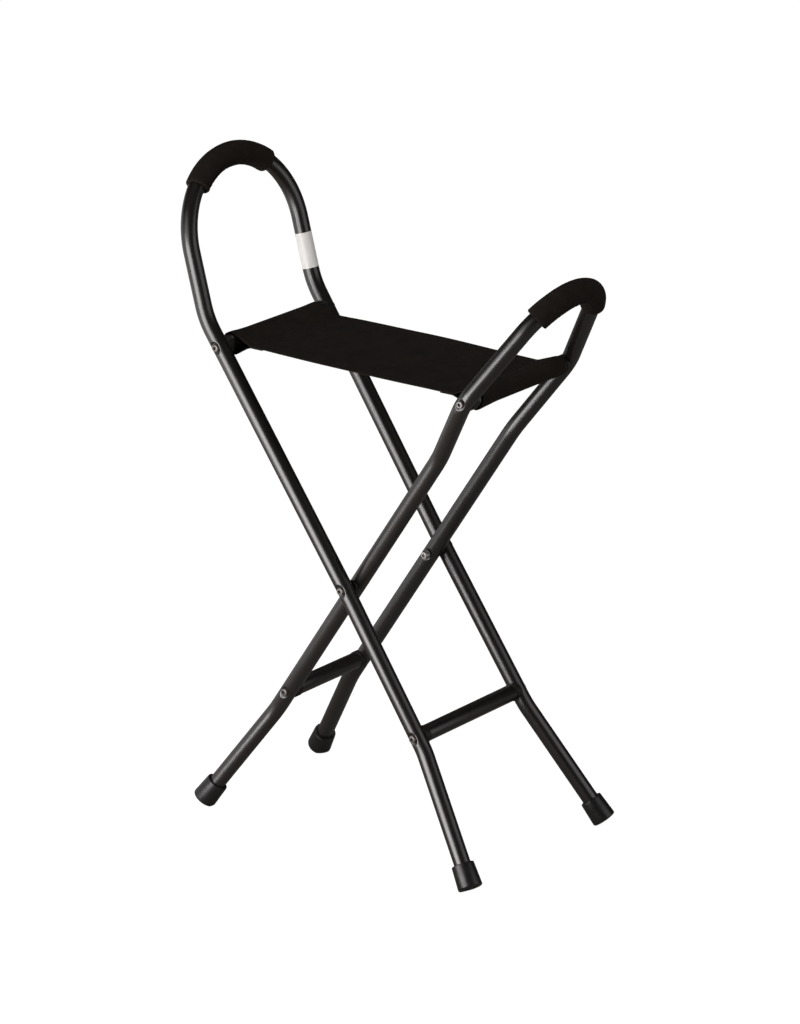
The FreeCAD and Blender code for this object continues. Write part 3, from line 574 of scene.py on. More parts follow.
# %% Feed and bend
NOWHERE = Vector((0, 0, 0))


def feed(bm, end, way, length, steps=1):
    """Push the end on by a length in equal steps, and return the new end."""
    made = bmesh.ops.spin(
        bm, geom=end, cent=NOWHERE, axis=UP, dvec=way * (length / steps), angle=0, steps=steps
    )
    return made["geom_last"]


def swing(bm, end, centre, axis, angle, steps):
    """Bend the end round an axis through a centre, and return the new end."""
    made = bmesh.ops.spin(
        bm, geom=end, cent=centre, axis=axis, dvec=NOWHERE, angle=angle, steps=steps
    )
    return made["geom_last"]


def only(items, kind):
    """The points or the edges of an end."""
    return [item for item in items if isinstance(item, kind)]


def everything(bm):
    """All points, edges and faces."""
    return bm.verts[:] + bm.edges[:] + bm.faces[:]


def standing(place, way):
    """The matrix that stands a piece on a point, its own Z along a way."""
    return Matrix.Translation(place) @ way.to_track_quat("Z", "Y").to_matrix().to_4x4()


def start_ring(bm, centre, way, radius, sides):
    """A ring of edges that faces along a way."""
    place = standing(centre, way)
    corners = bmesh.ops.create_circle(bm, segments=sides, radius=radius, matrix=place)["verts"]
    return corners + list({edge for corner in corners for edge in corner.link_edges})


# %% Make a finished piece
def finish_piece(name, bm, place, body, material, slot, *nodes, sharp=40.0):
    """Make a named object of a mesh, in its place, riding on its body for the nodes it stands for."""
    bmesh.ops.transform(bm, matrix=place, verts=bm.verts)
    mesh = bpy.data.meshes.new(name)
    bm.to_mesh(mesh)
    bm.free()
    mesh.polygons.foreach_set("use_smooth", [True] * len(mesh.polygons))
    mesh.set_sharp_from_angle(angle=math.radians(sharp))
    mesh.materials.append(material)
    piece = bpy.data.objects.new(name, mesh)
    scene.collection.objects.link(piece)
    if body:
        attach(piece, body)
    if nodes:
        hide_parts(*nodes)
    print(name, len(mesh.polygons), "faces")
    return piece


# %% [markdown]
# # The bent tubes
# Each frame is one tube, bent up from one foot, round the handle loop and down to the other foot. The
# two halves are alike, so the near half is made from the crown of the loop to the foot and mirrored.
# Where a screw goes through, the wall is pressed into a shallow seat so that the head lies below the
# crest. The rings stand close together there, and far apart on plain stretches.

# %% Press and bend settings
RING_SIDES = 96
COARSE_STEP = 9 * MM
BEND_STEP = 2.6 * MM
FINE_STEP = 0.8 * MM
PRESS_REACH = 13 * MM
PRESS_DEPTH = 2 * MM
PRESS_FLOOR = 5.9 * MM
PRESS_SLOPE = 5.2 * MM
PRESS_RISE = 3.2 * MM
PRESS_SOFTNESS = 0.7 * MM
MERGE = 0.001 * MM
STATIONS = (SEAT_RISE, 0.0, LOWER_RISE)


def near_station(rise):
    """Whether a height on a leg is close enough to a screw for its wall to be pressed."""
    return min(abs(rise - station) for station in STATIONS) < PRESS_REACH


def smooth_step(amount):
    """An even ease from 0 to 1."""
    amount = min(max(amount, 0.0), 1.0)
    return amount * amount * (3 - 2 * amount)


def soft_minimum(first, second, softness):
    """The smaller of two numbers, with the corner between them rounded off."""
    mix = min(max(0.5 + 0.5 * (second - first) / softness, 0.0), 1.0)
    return second + (first - second) * mix - softness * mix * (1 - mix)


# %% Straights and corners
def feed_leg(bm, end, start, finish):
    """Feed a leg from one point to another, in fine steps where a screw goes through."""
    way = (finish - start).normalized()
    length = (finish - start).length
    marks = [0.0, length]
    for station in STATIONS:
        for edge in (-PRESS_REACH, PRESS_REACH):
            mark = (station + edge - start.z) / way.z
            if 0 < mark < length:
                marks.append(mark)
    marks.sort()
    for before, after in zip(marks, marks[1:]):
        fine = near_station((start + way * (before + after) / 2).z)
        steps = math.ceil((after - before) / (FINE_STEP if fine else COARSE_STEP))
        end = feed(bm, end, way, after - before, steps)
    return end


def lead_round(bm, end, start, corner, onward, radius):
    """Feed to a corner and bend round it; returns the end and where it is."""
    way_in = (corner - start).normalized()
    way_out = (onward - corner).normalized()
    turn = way_in.angle(way_out)
    reach = radius * math.tan(turn / 2)
    first = corner - way_in * reach
    end = feed_leg(bm, end, start, first)
    axis = way_in.cross(way_out).normalized()
    centre = first + axis.cross(way_in) * radius
    spacing = FINE_STEP if near_station(corner.z) else BEND_STEP
    end = swing(bm, end, centre, axis, turn, math.ceil(turn * radius / spacing))
    return end, corner + way_out * reach


# %% Pressed seats, closed ends and a whole tube
def press_seat(bm, crest, outward):
    """Press the wall under a screw head into a shallow pan with soft lips."""
    for vert in bm.verts:
        offset = vert.co - crest
        depth = offset.dot(outward)
        around = (offset - outward * depth).length
        if around > PRESS_REACH or depth < -TUBE_RADIUS:
            continue
        rise = PRESS_RISE * smooth_step((around - PRESS_FLOOR) / PRESS_SLOPE)
        vert.co += outward * (soft_minimum(depth, rise - PRESS_DEPTH, PRESS_SOFTNESS) - depth)


def open_rim(bm):
    """The edges of every open ring."""
    return [edge for edge in bm.edges if edge.is_boundary]


def close_skin(bm):
    """Cap every open ring and face the skin outwards."""
    bmesh.ops.holes_fill(bm, edges=open_rim(bm), sides=0)
    bmesh.ops.recalc_face_normals(bm, faces=bm.faces)


def bent_tube(loop_centre, loop_up, loop_radius, loop_turn, corners, radii, seats):
    """A frame's whole skin: the near half led down from the crown, pressed, and mirrored."""
    bm = bmesh.new()
    crown = loop_centre + loop_up * loop_radius
    end = start_ring(bm, crown, -ACROSS, TUBE_RADIUS, RING_SIDES)
    axis = loop_up.cross(-ACROSS).normalized()
    steps = math.ceil(loop_turn * loop_radius / BEND_STEP)
    end = swing(bm, end, loop_centre, axis, loop_turn, steps)
    here = loop_centre + Matrix.Rotation(loop_turn, 3, axis) @ (loop_up * loop_radius)
    for corner, onward, radius in zip(corners, corners[1:], radii):
        end, here = lead_round(bm, end, here, corner, onward, radius)
    feed_leg(bm, end, here, corners[-1])
    for crest, outward in seats:
        press_seat(bm, crest, outward)
    bmesh.ops.mirror(bm, geom=everything(bm), matrix=Matrix(), merge_dist=MERGE, axis="Y")
    bmesh.ops.remove_doubles(bm, verts=bm.verts, dist=MERGE)
    close_skin(bm)
    return bm


# %% [markdown]
# The driving points of a frame are the corners that its centre line would have if nothing were rounded,
# with the bending radius at each. The foot's corner is on the underside of the ferrule, and the tube
# ends a sole's thickness and a disc's above it.

# %% The two frames' corners
LEG_END = 8.2 * MM
FOOT_RISE = -417 * MM
FOOT_BEND = 100 * MM
TALL_LOOP = 109.5 * MM
TALL_BEND = 105 * MM
TALL_BEND_ANGLE = math.radians(19.7)
TALL_BEND_TO_LOOP = 88 * MM
WAIST_BEND = 600 * MM
SHORT_LOOP = 76.2 * MM
SHOULDER_BEND = 52 * MM
SPLAY_BEND = 100 * MM

tall_foot = Vector((0, -145 * MM, FOOT_RISE))
tall_low_bend = Vector((0, -107.5 * MM, LOWER_RISE - 20.5 * MM))
tall_waist = Vector((0, -HALF["tall", "pivot"], 0))
tall_bend = Vector((0, -TALL_LOOP, SEAT_RISE + 40 * MM))
tall_loop_way = Vector((math.sin(TALL_BEND_ANGLE), 0, math.cos(TALL_BEND_ANGLE)))
tall_loop_start = tall_bend + tall_loop_way * TALL_BEND_TO_LOOP
tall_loop_centre = Vector((tall_loop_start.x, 0, tall_loop_start.z))
tall_foot_way = (tall_foot - tall_low_bend).normalized()

short_foot = Vector((0, -122 * MM, FOOT_RISE))
short_low_bend = Vector((0, -SHORT_LEG_HALF, LOWER_RISE - 37.5 * MM))
short_splay = Vector((0, -SHORT_LEG_HALF, SEAT_RISE - 114 * MM))
short_shoulder = Vector((0, -110 * MM, SEAT_RISE))
short_loop_centre = Vector((0, 0, SEAT_RISE + 86.5 * MM))
short_foot_way = (short_foot - short_low_bend).normalized()
to_shoulder = short_shoulder - short_loop_centre
tangent_angle = math.acos(SHORT_LOOP / to_shoulder.length)
shoulder_angle = math.atan2(-to_shoulder.z, -to_shoulder.y)
short_loop_turn = math.pi / 2 - (tangent_angle - shoulder_angle)
print("short loop bends", round(math.degrees(short_loop_turn), 1), "degrees each way from its crown")


# %% Bend the two tubes
def seats_of(frame_name, pivot_outside):
    """The crest of the near leg at each screw, and the way that its head faces."""
    seats = []
    for station, rise, outside in (
        ("seat", SEAT_RISE, 1),
        ("lower", LOWER_RISE, 1),
        ("pivot", 0.0, pivot_outside),
    ):
        outward = -ACROSS * outside
        centre = -ACROSS * HALF[frame_name, station] + UP * rise
        seats.append((centre + outward * TUBE_RADIUS, outward))
    return seats


tubes = {
    "tall": bent_tube(
        tall_loop_centre,
        tall_loop_way,
        TALL_LOOP,
        math.pi / 2,
        (tall_bend, tall_waist, tall_low_bend, tall_foot - tall_foot_way * LEG_END),
        (TALL_BEND, WAIST_BEND, FOOT_BEND),
        seats_of("tall", pivot_outside=1),
    ),
    "short": bent_tube(
        short_loop_centre,
        UP,
        SHORT_LOOP,
        short_loop_turn,
        (short_shoulder, short_splay, short_low_bend, short_foot - short_foot_way * LEG_END),
        (SHOULDER_BEND, SPLAY_BEND, FOOT_BEND),
        seats_of("short", pivot_outside=-1),
    ),
}
LEG_TREE = {name: BVHTree.FromBMesh(tube) for name, tube in tubes.items()}
for name, tube in tubes.items():
    finish_piece(
        f"{name}_tube", tube, LEAN_OF[name], f"{name}_frame", paint, "black_tube", f"{name}_frame_tube"
    )

# %% [markdown]
# # Turned pieces
# Screws, sleeve nuts, plugs, rings and ferrules are all round, so each starts as half an outline that
# is spun through a full turn. A corner of the outline can carry a radius: the bevel operator rounds it
# before the spin, as a lathe tool would.

# %% Turn an outline
SIDES = (("near", -1), ("far", 1))
PLAIN_TURNING = 72
FINE_TURNING = 96
OUTER = TUBE_RADIUS / MM


def turned(outline, sides):
    """A round piece about Z from (radius, height, rounding) corners, all in millimetres."""
    bm = bmesh.new()
    corners = [bm.verts.new((radius * MM, 0, height * MM)) for radius, height, _ in outline]
    for first, second in zip(corners, corners[1:]):
        bm.edges.new((first, second))
    for corner, (_, _, rounding) in zip(corners, outline):
        if rounding:
            bmesh.ops.bevel(
                bm, geom=[corner], offset=rounding * MM, offset_type="OFFSET", segments=6,
                profile=0.5, affect="VERTICES", material=-1,
            )
    bmesh.ops.spin(
        bm, geom=everything(bm), cent=NOWHERE, axis=UP, dvec=NOWHERE, angle=math.tau, steps=sides,
        use_merge=True,
    )
    bmesh.ops.remove_doubles(bm, verts=bm.verts, dist=MERGE)
    bmesh.ops.recalc_face_normals(bm, faces=bm.faces)
    return bm


def mount(name, bm, frame_name, seat, way, material, slot, node, sharp=40.0):
    """Stand a turned piece on its seat in the upright frame, and lean it over with the frame."""
    place = LEAN_OF[frame_name] @ standing(seat, way)
    finish_piece(name, bm, place, f"{frame_name}_frame", material, slot, node, sharp=sharp)


def bar_ends():
    """Both ends of every bar: frame, station, rise, side and the way out."""
    for frame_name in LEAN_OF:
        for station, rise in STATION_RISE.items():
            for side, sign in SIDES:
                yield frame_name, station, rise, side, ACROSS * sign


# %% [markdown]
# # Bars
# Four straight bars hold the legs apart. They are the same tube, cut square with the burr taken off.

# %% Cut the bars
BAR_EDGE = 0.5
TUBE_WALL = 1.5
for frame_name in LEAN_OF:
    for station, rise in STATION_RISE.items():
        node = f"{frame_name}_{station}_bar"
        length = width_of(node) / MM
        outline = (
            (OUTER - TUBE_WALL, 0, 0),
            (OUTER, 0, BAR_EDGE),
            (OUTER, length, BAR_EDGE),
            (OUTER - TUBE_WALL, length, 0),
            (OUTER - TUBE_WALL, 0, 0),
        )
        start = UP * rise - ACROSS * length * MM / 2
        name = f"{frame_name}_{station}_crossbar"
        bar = turned(outline, PLAIN_TURNING)
        mount(name, bar, frame_name, start, ACROSS, paint, "black_tube", node)

# %% [markdown]
# # End plugs
# A plastic plug closes each bar's end. Its spigot is inside the bar, and its collar is moulded to cup
# the leg. The collar is turned with a flat end first. Then every point of it is drawn back along the
# bar in proportion, so that the end lies just off the leg, found by a ray cast at the bent tube.

# %% Turn and fit a plug
PLUG_LIP = 0.8
PLUG_WRAP = 10.0
PLUG_SPIGOT = 25.0
PLUG_ROUNDING = 0.6
SPIGOT_PLAY = 0.05
SADDLE_FIT = 0.1 * MM
COLLAR_RINGS = 12


def plug_blank():
    """A plug with a flat end, its collar starting at height zero."""
    lip = OUTER + PLUG_LIP
    spigot = OUTER - TUBE_WALL - SPIGOT_PLAY
    shares = [number / COLLAR_RINGS for number in range(1, COLLAR_RINGS)]
    face = [(lip * share, PLUG_WRAP, 0) for share in shares]
    wall = [(lip, PLUG_WRAP * (1 - share), 0) for share in shares]
    outline = [(0, PLUG_WRAP, 0), *face, (lip, PLUG_WRAP, PLUG_ROUNDING), *wall]
    outline += [(lip, 0, PLUG_ROUNDING), (spigot, 0, 0)]
    outline += [(spigot, -PLUG_SPIGOT, 0), (0, -PLUG_SPIGOT, 0)]
    return turned(outline, FINE_TURNING)


def fit_saddle(bm, leg, base, outward):
    """Draw a collar back from the leg that it cups."""
    for vert in bm.verts:
        height = (vert.co - base).dot(outward)
        if height < 0:
            continue
        foot = vert.co - outward * height
        _, _, _, distance = leg.ray_cast(foot, outward)
        limit = PLUG_WRAP * MM
        if distance is not None:
            limit = min(limit, distance - SADDLE_FIT)
        vert.co = foot + outward * (height * limit / (PLUG_WRAP * MM))


# %% Mould the plugs
for frame_name, station, rise, side, outward in bar_ends():
    base = UP * rise + outward * (HALF[frame_name, station] - TUBE_RADIUS - COLLAR)
    name = f"{frame_name}_{station}_{side}"
    plug = plug_blank()
    bmesh.ops.transform(plug, matrix=standing(base, outward), verts=plug.verts)
    fit_saddle(plug, LEG_TREE[frame_name], base, outward)
    finish_piece(
        f"{name}_end_plug", plug, LEAN_OF[frame_name], f"{frame_name}_frame", plastic,
        "black_plastic", f"{name}_plug", sharp=30.0,
    )

# %% [markdown]
# # Screws and sleeve nuts
# All have the same button head with a hexagon socket. The head is turned with an open hole in its top.
# The hole's round rim is then pulled to a hexagon, fed down for the socket's walls, and closed.

# %% Button heads
HEAD_RADIUS = 5.25
HEAD_HEIGHT = 3.3
HEAD_ROUNDING = 1.5
HEAD_FOOT_ROUNDING = 0.3
NUT_HEAD_HEIGHT = 9.0
SHANK_TIP_ROUNDING = 0.5
SOCKET_HALF = 2.0
SOCKET_DEPTH = 2.4
SOCKET_CHAMFER = 0.25
HEAD_SHARP = 28.0


def to_hexagon(end, half_flat):
    """Pull a round rim about Z to a hexagon of that half width across its flats."""
    for vert in only(end, bmesh.types.BMVert):
        around = math.atan2(vert.co.y, vert.co.x) % (math.pi / 3) - math.pi / 6
        reach = half_flat * MM / math.cos(around)
        scale = reach / math.hypot(vert.co.x, vert.co.y)
        vert.co.x *= scale
        vert.co.y *= scale


def button_fastener(shank_radius, shank_length, head_height):
    """A button head standing on height zero, with its socket, and its shank below."""
    outline = (
        (0, -shank_length, 0),
        (shank_radius, -shank_length, SHANK_TIP_ROUNDING),
        (shank_radius, 0, 0),
        (HEAD_RADIUS, 0, HEAD_FOOT_ROUNDING),
        (HEAD_RADIUS, head_height, HEAD_ROUNDING),
        (SOCKET_HALF / math.cos(math.pi / 6), head_height, 0),
    )
    bm = turned(outline, PLAIN_TURNING)
    end = open_rim(bm)
    end += list({vert for edge in end for vert in edge.verts})
    to_hexagon(end, SOCKET_HALF + SOCKET_CHAMFER)
    end = feed(bm, end, -UP, SOCKET_CHAMFER * MM)
    to_hexagon(end, SOCKET_HALF)
    feed(bm, end, -UP, (SOCKET_DEPTH - SOCKET_CHAMFER) * MM, steps=3)
    close_skin(bm)
    return bm


# %% Put in the bars' screws
HEAD_DEPTH = 2 * MM
SCREW_RADIUS = 3.0
BAR_SCREW_LENGTH = 40.0
for frame_name, station, rise, side, outward in bar_ends():
    seat = UP * rise + outward * (HALF[frame_name, station] + TUBE_RADIUS - HEAD_DEPTH)
    screw = button_fastener(SCREW_RADIUS, BAR_SCREW_LENGTH, HEAD_HEIGHT)
    name = f"{frame_name}_{station}_{side}_screw"
    node = f"{frame_name}_bar_screws"
    mount(name, screw, frame_name, seat, outward, steel, "screw_steel", node, HEAD_SHARP)

# %% Put in the pivots
PIVOT_SCREW_LENGTH = 20.0
NUT_RADIUS = 4.0
RING_BORE = 4.05
RING_RADIUS = 9.0
RING_EDGE = 0.5
BORE_EDGE = 0.2
thickness = width_of("far_pivot_spacer") / MM
ring_outline = (
    (RING_BORE, 0, BORE_EDGE),
    (RING_RADIUS, 0, RING_EDGE),
    (RING_RADIUS, thickness, RING_EDGE),
    (RING_BORE, thickness, BORE_EDGE),
    (RING_BORE, 0, 0),
)
for side, sign in SIDES:
    outward = ACROSS * sign
    seat = outward * (HALF["tall", "pivot"] + TUBE_RADIUS - HEAD_DEPTH)
    bolt = button_fastener(SCREW_RADIUS, PIVOT_SCREW_LENGTH, HEAD_HEIGHT)
    node = f"{side}_pivot_screw"
    mount(f"{side}_pivot_bolt", bolt, "tall", seat, outward, steel, "screw_steel", node, HEAD_SHARP)

    low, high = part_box(f"{side}_pivot_barrel")
    seat = ACROSS * ((low.y if sign > 0 else high.y) + sign * HEAD_HEIGHT * MM)
    nut = button_fastener(NUT_RADIUS, (high.y - low.y) / MM - HEAD_HEIGHT, NUT_HEAD_HEIGHT)
    node = f"{side}_pivot_barrel"
    name = f"{side}_pivot_sleeve_nut"
    mount(name, nut, "tall", seat, -outward, zinc, "screw_steel", node, HEAD_SHARP)

    low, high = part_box(f"{side}_pivot_spacer")
    seat = ACROSS * (high.y if sign > 0 else low.y)
    ring = turned(ring_outline, PLAIN_TURNING)
    node = f"{side}_pivot_spacer"
    mount(f"{side}_pivot_ring", ring, "tall", seat, -outward, plastic, "black_plastic", node)

# %% [markdown]
# # Foam grips
# A grip is a straight foam sleeve pushed round the bend. Two rings, one for its skin and one for its
# bore, are swung round the loop and bridged at the ends, and the ends are rounded. The foam bunches up
# on the inside of the bend, which makes a grip shorter and gives that side shallow creases. The long
# grip is also drawn inwards, thinner outside the bend than inside, and all foam is a little uneven.

# %% Creases and unevenness of the foam
GRIP_BORE = TUBE_RADIUS + 0.1 * MM
GRIP_SKIN = GRIP_BORE + 5.05 * MM
CREASE_DEPTH = 0.35 * MM
CREASE_LENGTH = 9 * MM
CREASE_WANDER = 2
WANDER_SCALE = 60
CREASE_LEVEL = 0.4
UNEVEN_SIZE = 22 * MM
UNEVEN_DEPTH = 0.28 * MM


def uneven_skin(bm, centre, axis, loop_radius, drawn):
    """Crease the foam on the inside of its bend, draw it in and make it a little uneven."""
    for vert in bm.verts:
        arm = vert.co - centre
        flat_arm = arm - axis * arm.dot(axis)
        spine = centre + flat_arm.normalized() * loop_radius
        out = vert.co - spine
        if out.length < (GRIP_BORE + GRIP_SKIN) / 2:
            continue
        around = math.atan2(arm.y, arm.dot(axis.cross(ACROSS)))
        inward = max(0.0, -out.normalized().dot(flat_arm.normalized()))
        wander = CREASE_WANDER * noise.noise(arm * WANDER_SCALE)
        wave = math.sin(math.tau * around * loop_radius / CREASE_LENGTH + wander)
        crease = CREASE_DEPTH * inward ** 2 * (wave - CREASE_LEVEL)
        swell = UNEVEN_DEPTH * noise.noise(arm / UNEVEN_SIZE)
        vert.co += out.normalized() * (crease + swell) - flat_arm.normalized() * drawn


# %% Swing the grips round their loops
GRIP_LENGTH = 163 * MM
SHORT_GRIP_SHIFT = 12.5 * MM
FOAM_BUNCHED = 8 * MM
TALL_GRIP_DRAWN = 1.4 * MM
GRIP_EDGE = 2.4 * MM
GRIP_STEP = 1.4 * MM


def foam_grip(frame_name, centre, loop_up, loop_radius, shift, drawn):
    """A grip centred so far past the crown towards the far side, its skin drawn in by so much."""
    bm = bmesh.new()
    length = GRIP_LENGTH - FOAM_BUNCHED
    axis = loop_up.cross(-ACROSS).normalized()
    sweep_angle = length / loop_radius
    to_start = Matrix.Rotation(-sweep_angle / 2 - shift / loop_radius, 3, axis)
    start = centre + to_start @ (loop_up * loop_radius)
    ends = []
    for ring_radius in (GRIP_SKIN, GRIP_BORE):
        first = start_ring(bm, start, to_start @ -ACROSS, ring_radius, PLAIN_TURNING)
        last = swing(bm, first, centre, axis, sweep_angle, math.ceil(length / GRIP_STEP))
        ends.append([only(end, bmesh.types.BMEdge) for end in (first, last)])
    for skin_rim, bore_rim in zip(*ends):
        bmesh.ops.bridge_loops(bm, edges=skin_rim + bore_rim)
    bmesh.ops.recalc_face_normals(bm, faces=bm.faces)
    bmesh.ops.bevel(
        bm, geom=ends[0][0] + ends[0][1], offset=GRIP_EDGE, segments=5, profile=0.5, affect="EDGES",
        material=-1,
    )
    uneven_skin(bm, centre, axis, loop_radius, drawn)
    grip = finish_piece(
        f"{frame_name}_foam_grip", bm, LEAN_OF[frame_name], f"{frame_name}_frame", foam,
        "grip_foam", f"{frame_name}_grip", sharp=60.0,
    )


foam_grip("tall", tall_loop_centre, tall_loop_way, TALL_LOOP, -FOAM_BUNCHED / 2, TALL_GRIP_DRAWN)
foam_grip("short", short_loop_centre, UP, SHORT_LOOP, SHORT_GRIP_SHIFT - FOAM_BUNCHED / 2, drawn=0.0)

# %% [markdown]
# # Ferrules
# The rubber cups taper a little towards the mouth. Each is turned, stood on the end of its leg, and cut
# off level at the floor, where the rubber is worn and pressed flat.

# %% Turn and stand the ferrules
FERRULE_LENGTH = 33.0
FERRULE_BORE = OUTER + 0.05
FERRULE_RIM = FERRULE_BORE + 3.85
FERRULE_SOLE = FERRULE_RIM + 1.5
SOLE_THICKNESS = 7.0
GROOVE_INNER = 5.0
GROOVE_OUTER = 8.0
GROOVE_DEPTH = 1.5
FERRULE_OUTLINE = (
    (0, 0, 0),
    (GROOVE_INNER, 0, 0.3),
    (GROOVE_INNER, GROOVE_DEPTH, 0),
    (GROOVE_OUTER, GROOVE_DEPTH, 0),
    (GROOVE_OUTER, 0, 0.3),
    (FERRULE_SOLE, 0, 2.5),
    (FERRULE_RIM, FERRULE_LENGTH, 1.2),
    (FERRULE_BORE, FERRULE_LENGTH, 0.4),
    (FERRULE_BORE, SOLE_THICKNESS, 0),
    (0, SOLE_THICKNESS, 0),
)
FEET = {"tall": (tall_foot, tall_foot_way), "short": (short_foot, short_foot_way)}

for frame_name, (foot, foot_way) in FEET.items():
    for side, sign in SIDES:
        name = f"{frame_name}_{side}"
        bm = turned(FERRULE_OUTLINE, FINE_TURNING)
        place = Vector((0, -sign * foot.y, foot.z))
        way = Vector((0, sign * foot_way.y, -foot_way.z))
        bmesh.ops.transform(bm, matrix=LEAN_OF[frame_name] @ standing(place, way), verts=bm.verts)
        bmesh.ops.bisect_plane(
            bm, geom=everything(bm), plane_co=NOWHERE, plane_no=-UP, clear_outer=True
        )
        close_skin(bm)
        finish_piece(
            f"{name}_rubber_ferrule", bm, Matrix(), f"{frame_name}_frame", rubber,
            "ferrule_rubber", f"{name}_ferrule",
        )

# %% [markdown]
# # The label
# A piece of white film wraps most of the way round one leg of the tall loop. It is a single point swung
# round the leg and fed along it, and the skin that this leaves is given a thickness.

# %% Wrap the label
LABEL_LENGTH = 48 * MM
LABEL_GAP = 0.3 * MM
LABEL_START = TALL_BEND * math.tan(TALL_BEND_ANGLE / 2) + LABEL_GAP
LABEL_TURN = math.radians(330)
LABEL_LIFT = 0.05 * MM
LABEL_THICKNESS = 0.2 * MM
LABEL_SIDES = 90
LABEL_ROWS = 12

label_foot = Vector((tall_bend.x, -tall_bend.y, tall_bend.z)) + tall_loop_way * LABEL_START
bm = bmesh.new()
outward = Matrix.Rotation(-LABEL_TURN / 2, 3, tall_loop_way) @ -ACROSS
corner = bm.verts.new(label_foot + outward * (TUBE_RADIUS + LABEL_LIFT))
swing(bm, [corner], label_foot, tall_loop_way, LABEL_TURN, LABEL_SIDES)
feed(bm, everything(bm), tall_loop_way, LABEL_LENGTH, LABEL_ROWS)
bmesh.ops.recalc_face_normals(bm, faces=bm.faces)
bmesh.ops.solidify(bm, geom=bm.faces[:], thickness=LABEL_THICKNESS)
finish_piece("plain_label", bm, LEAN_OF["tall"], "tall_frame", film, "label_film", "blank_label")

# %% [markdown]
# # The sling
# One strip of strong cloth goes from bar to bar. Each end is led round its bar, back under the panel
# and sewn twice, which leaves a sleeve shaped like a drop. So the strip's side view is drawn first, as
# one line: a single point fed and swung along the way the cloth goes. That line is fed across the seat
# and only then shaped: bowed out at the sides, drawn by its seams and slack at the sleeves' ends.

# %% The way the cloth goes
CLOTH_THICKNESS = 1.2 * MM
SLEEVE_RADIUS = TUBE_RADIUS + 0.9 * MM
SLEEVE_NECK = 34 * MM
HEM = 20 * MM
LAYER = 0.65 * MM
CLOTH_STEP = 2.5 * MM
WRAP_STEPS = 36
SLING_HALF = width_of("seat_sling") / 2
left_bar = middle_of("tall_seat_bar")
right_bar = middle_of("short_seat_bar")

neck_reach = math.hypot(SLEEVE_NECK, LAYER)
opening = math.acos(SLEEVE_RADIUS / neck_reach) + math.atan2(LAYER, SLEEVE_NECK)
straight = math.sqrt(neck_reach ** 2 - SLEEVE_RADIUS ** 2)
wrap = math.tau - 2 * opening
panel = (right_bar - left_bar).x - 2 * SLEEVE_NECK

# %% Helpers that lead one point along it
RIGHT = Vector((1, 0, 0))
near_edge = -ACROSS * SLING_HALF
bm = bmesh.new()
walked = bm.verts.layers.float.new("walked")
gone = 0.0


def point_of(end):
    """The single point of an end."""
    return only(end, bmesh.types.BMVert)[0]


def walk(end, length, steps, step):
    """Take equal steps along the cloth, noting on each new point how far along it is."""
    global gone
    for _ in range(steps):
        end = step(end)
        gone += length / steps
        point_of(end)[walked] = gone
    return end


def lead(end, way, length):
    """Feed the cloth's edge straight on."""
    steps = math.ceil(length / CLOTH_STEP)
    return walk(end, length, steps, lambda last: feed(bm, last, way, length / steps))


def lead_over(end, bar):
    """Swing the cloth's edge over a bar."""
    turn = wrap / WRAP_STEPS
    arc = SLEEVE_RADIUS * wrap
    return walk(end, arc, WRAP_STEPS, lambda last: swing(bm, last, bar, ACROSS, turn, 1))


def neck(bar, inward, side):
    """Where the two layers of a sleeve meet, the upper one (1) or the lower one (-1)."""
    return bar + inward * SLEEVE_NECK + UP * (side * LAYER) + near_edge


def on_drop(bar, inward, angle):
    """A point on the cloth round a bar, its angle measured up from the way inward."""
    arm = inward * math.cos(angle) + UP * math.sin(angle)
    return bar + arm * SLEEVE_RADIUS + near_edge


# %% Go from hem to hem
left_under = neck(left_bar, RIGHT, -1)
left_bottom = on_drop(left_bar, RIGHT, -opening)
left_top = on_drop(left_bar, RIGHT, opening)
right_over = neck(right_bar, -RIGHT, 1)
right_top = on_drop(right_bar, -RIGHT, opening)

end = [bm.verts.new(left_under + RIGHT * HEM)]
end = lead(end, -RIGHT, HEM)
end = lead(end, (left_bottom - left_under).normalized(), straight)
end = lead_over(end, left_bar + near_edge)
end = lead(end, (neck(left_bar, RIGHT, 1) - left_top).normalized(), straight)
end = lead(end, RIGHT, panel)
end = lead(end, (right_top - right_over).normalized(), straight)
end = lead_over(end, right_bar + near_edge)
right_bottom = point_of(end).co.copy()
end = lead(end, (neck(right_bar, -RIGHT, -1) - right_bottom).normalized(), straight)
end = lead(end, -RIGHT, HEM)
print("led", len(bm.verts), "points over", round(gone * 1000, 1), "mm")

# %% Feed it across and map it
ACROSS_STEPS = 72
feed(bm, everything(bm), ACROSS, 2 * SLING_HALF, ACROSS_STEPS)
cloth_uv = bm.loops.layers.uv.new("cloth")
for face in bm.faces:
    for loop in face.loops:
        loop[cloth_uv].uv = (loop.vert[walked], loop.vert.co.y + SLING_HALF)
bmesh.ops.recalc_face_normals(bm, faces=bm.faces)
print("cloth", len(bm.faces), "faces")

# %% [markdown]
# The cloth is now shaped point by point. A new position is worked out from where the point is along and
# across the panel, as pulling and sewing would move it.

# %% Shape the cloth
SIDE_HALF = 87.2 * MM
SIDE_BOW = 5.6 * MM
PANEL_SAG = 1.6 * MM
PUCKER_DEPTH = 0.30 * MM
PUCKER_LENGTH = 8.5 * MM
PUCKER_FADE = 16 * MM
PUCKER_WANDER = 3
WANDER_ACROSS = 40
WANDER_SEAM = 90
FOLD_DEPTH = 0.9 * MM
FOLD_ALONG = 9
FOLD_SLANT = 5
FOLD_ACROSS = 12
PANEL_FROM = SLEEVE_NECK * 0.8
PANEL_EASE = SLEEVE_NECK * 0.4
span_middle = (left_bar + right_bar) / 2
half_span = (right_bar - left_bar).x / 2


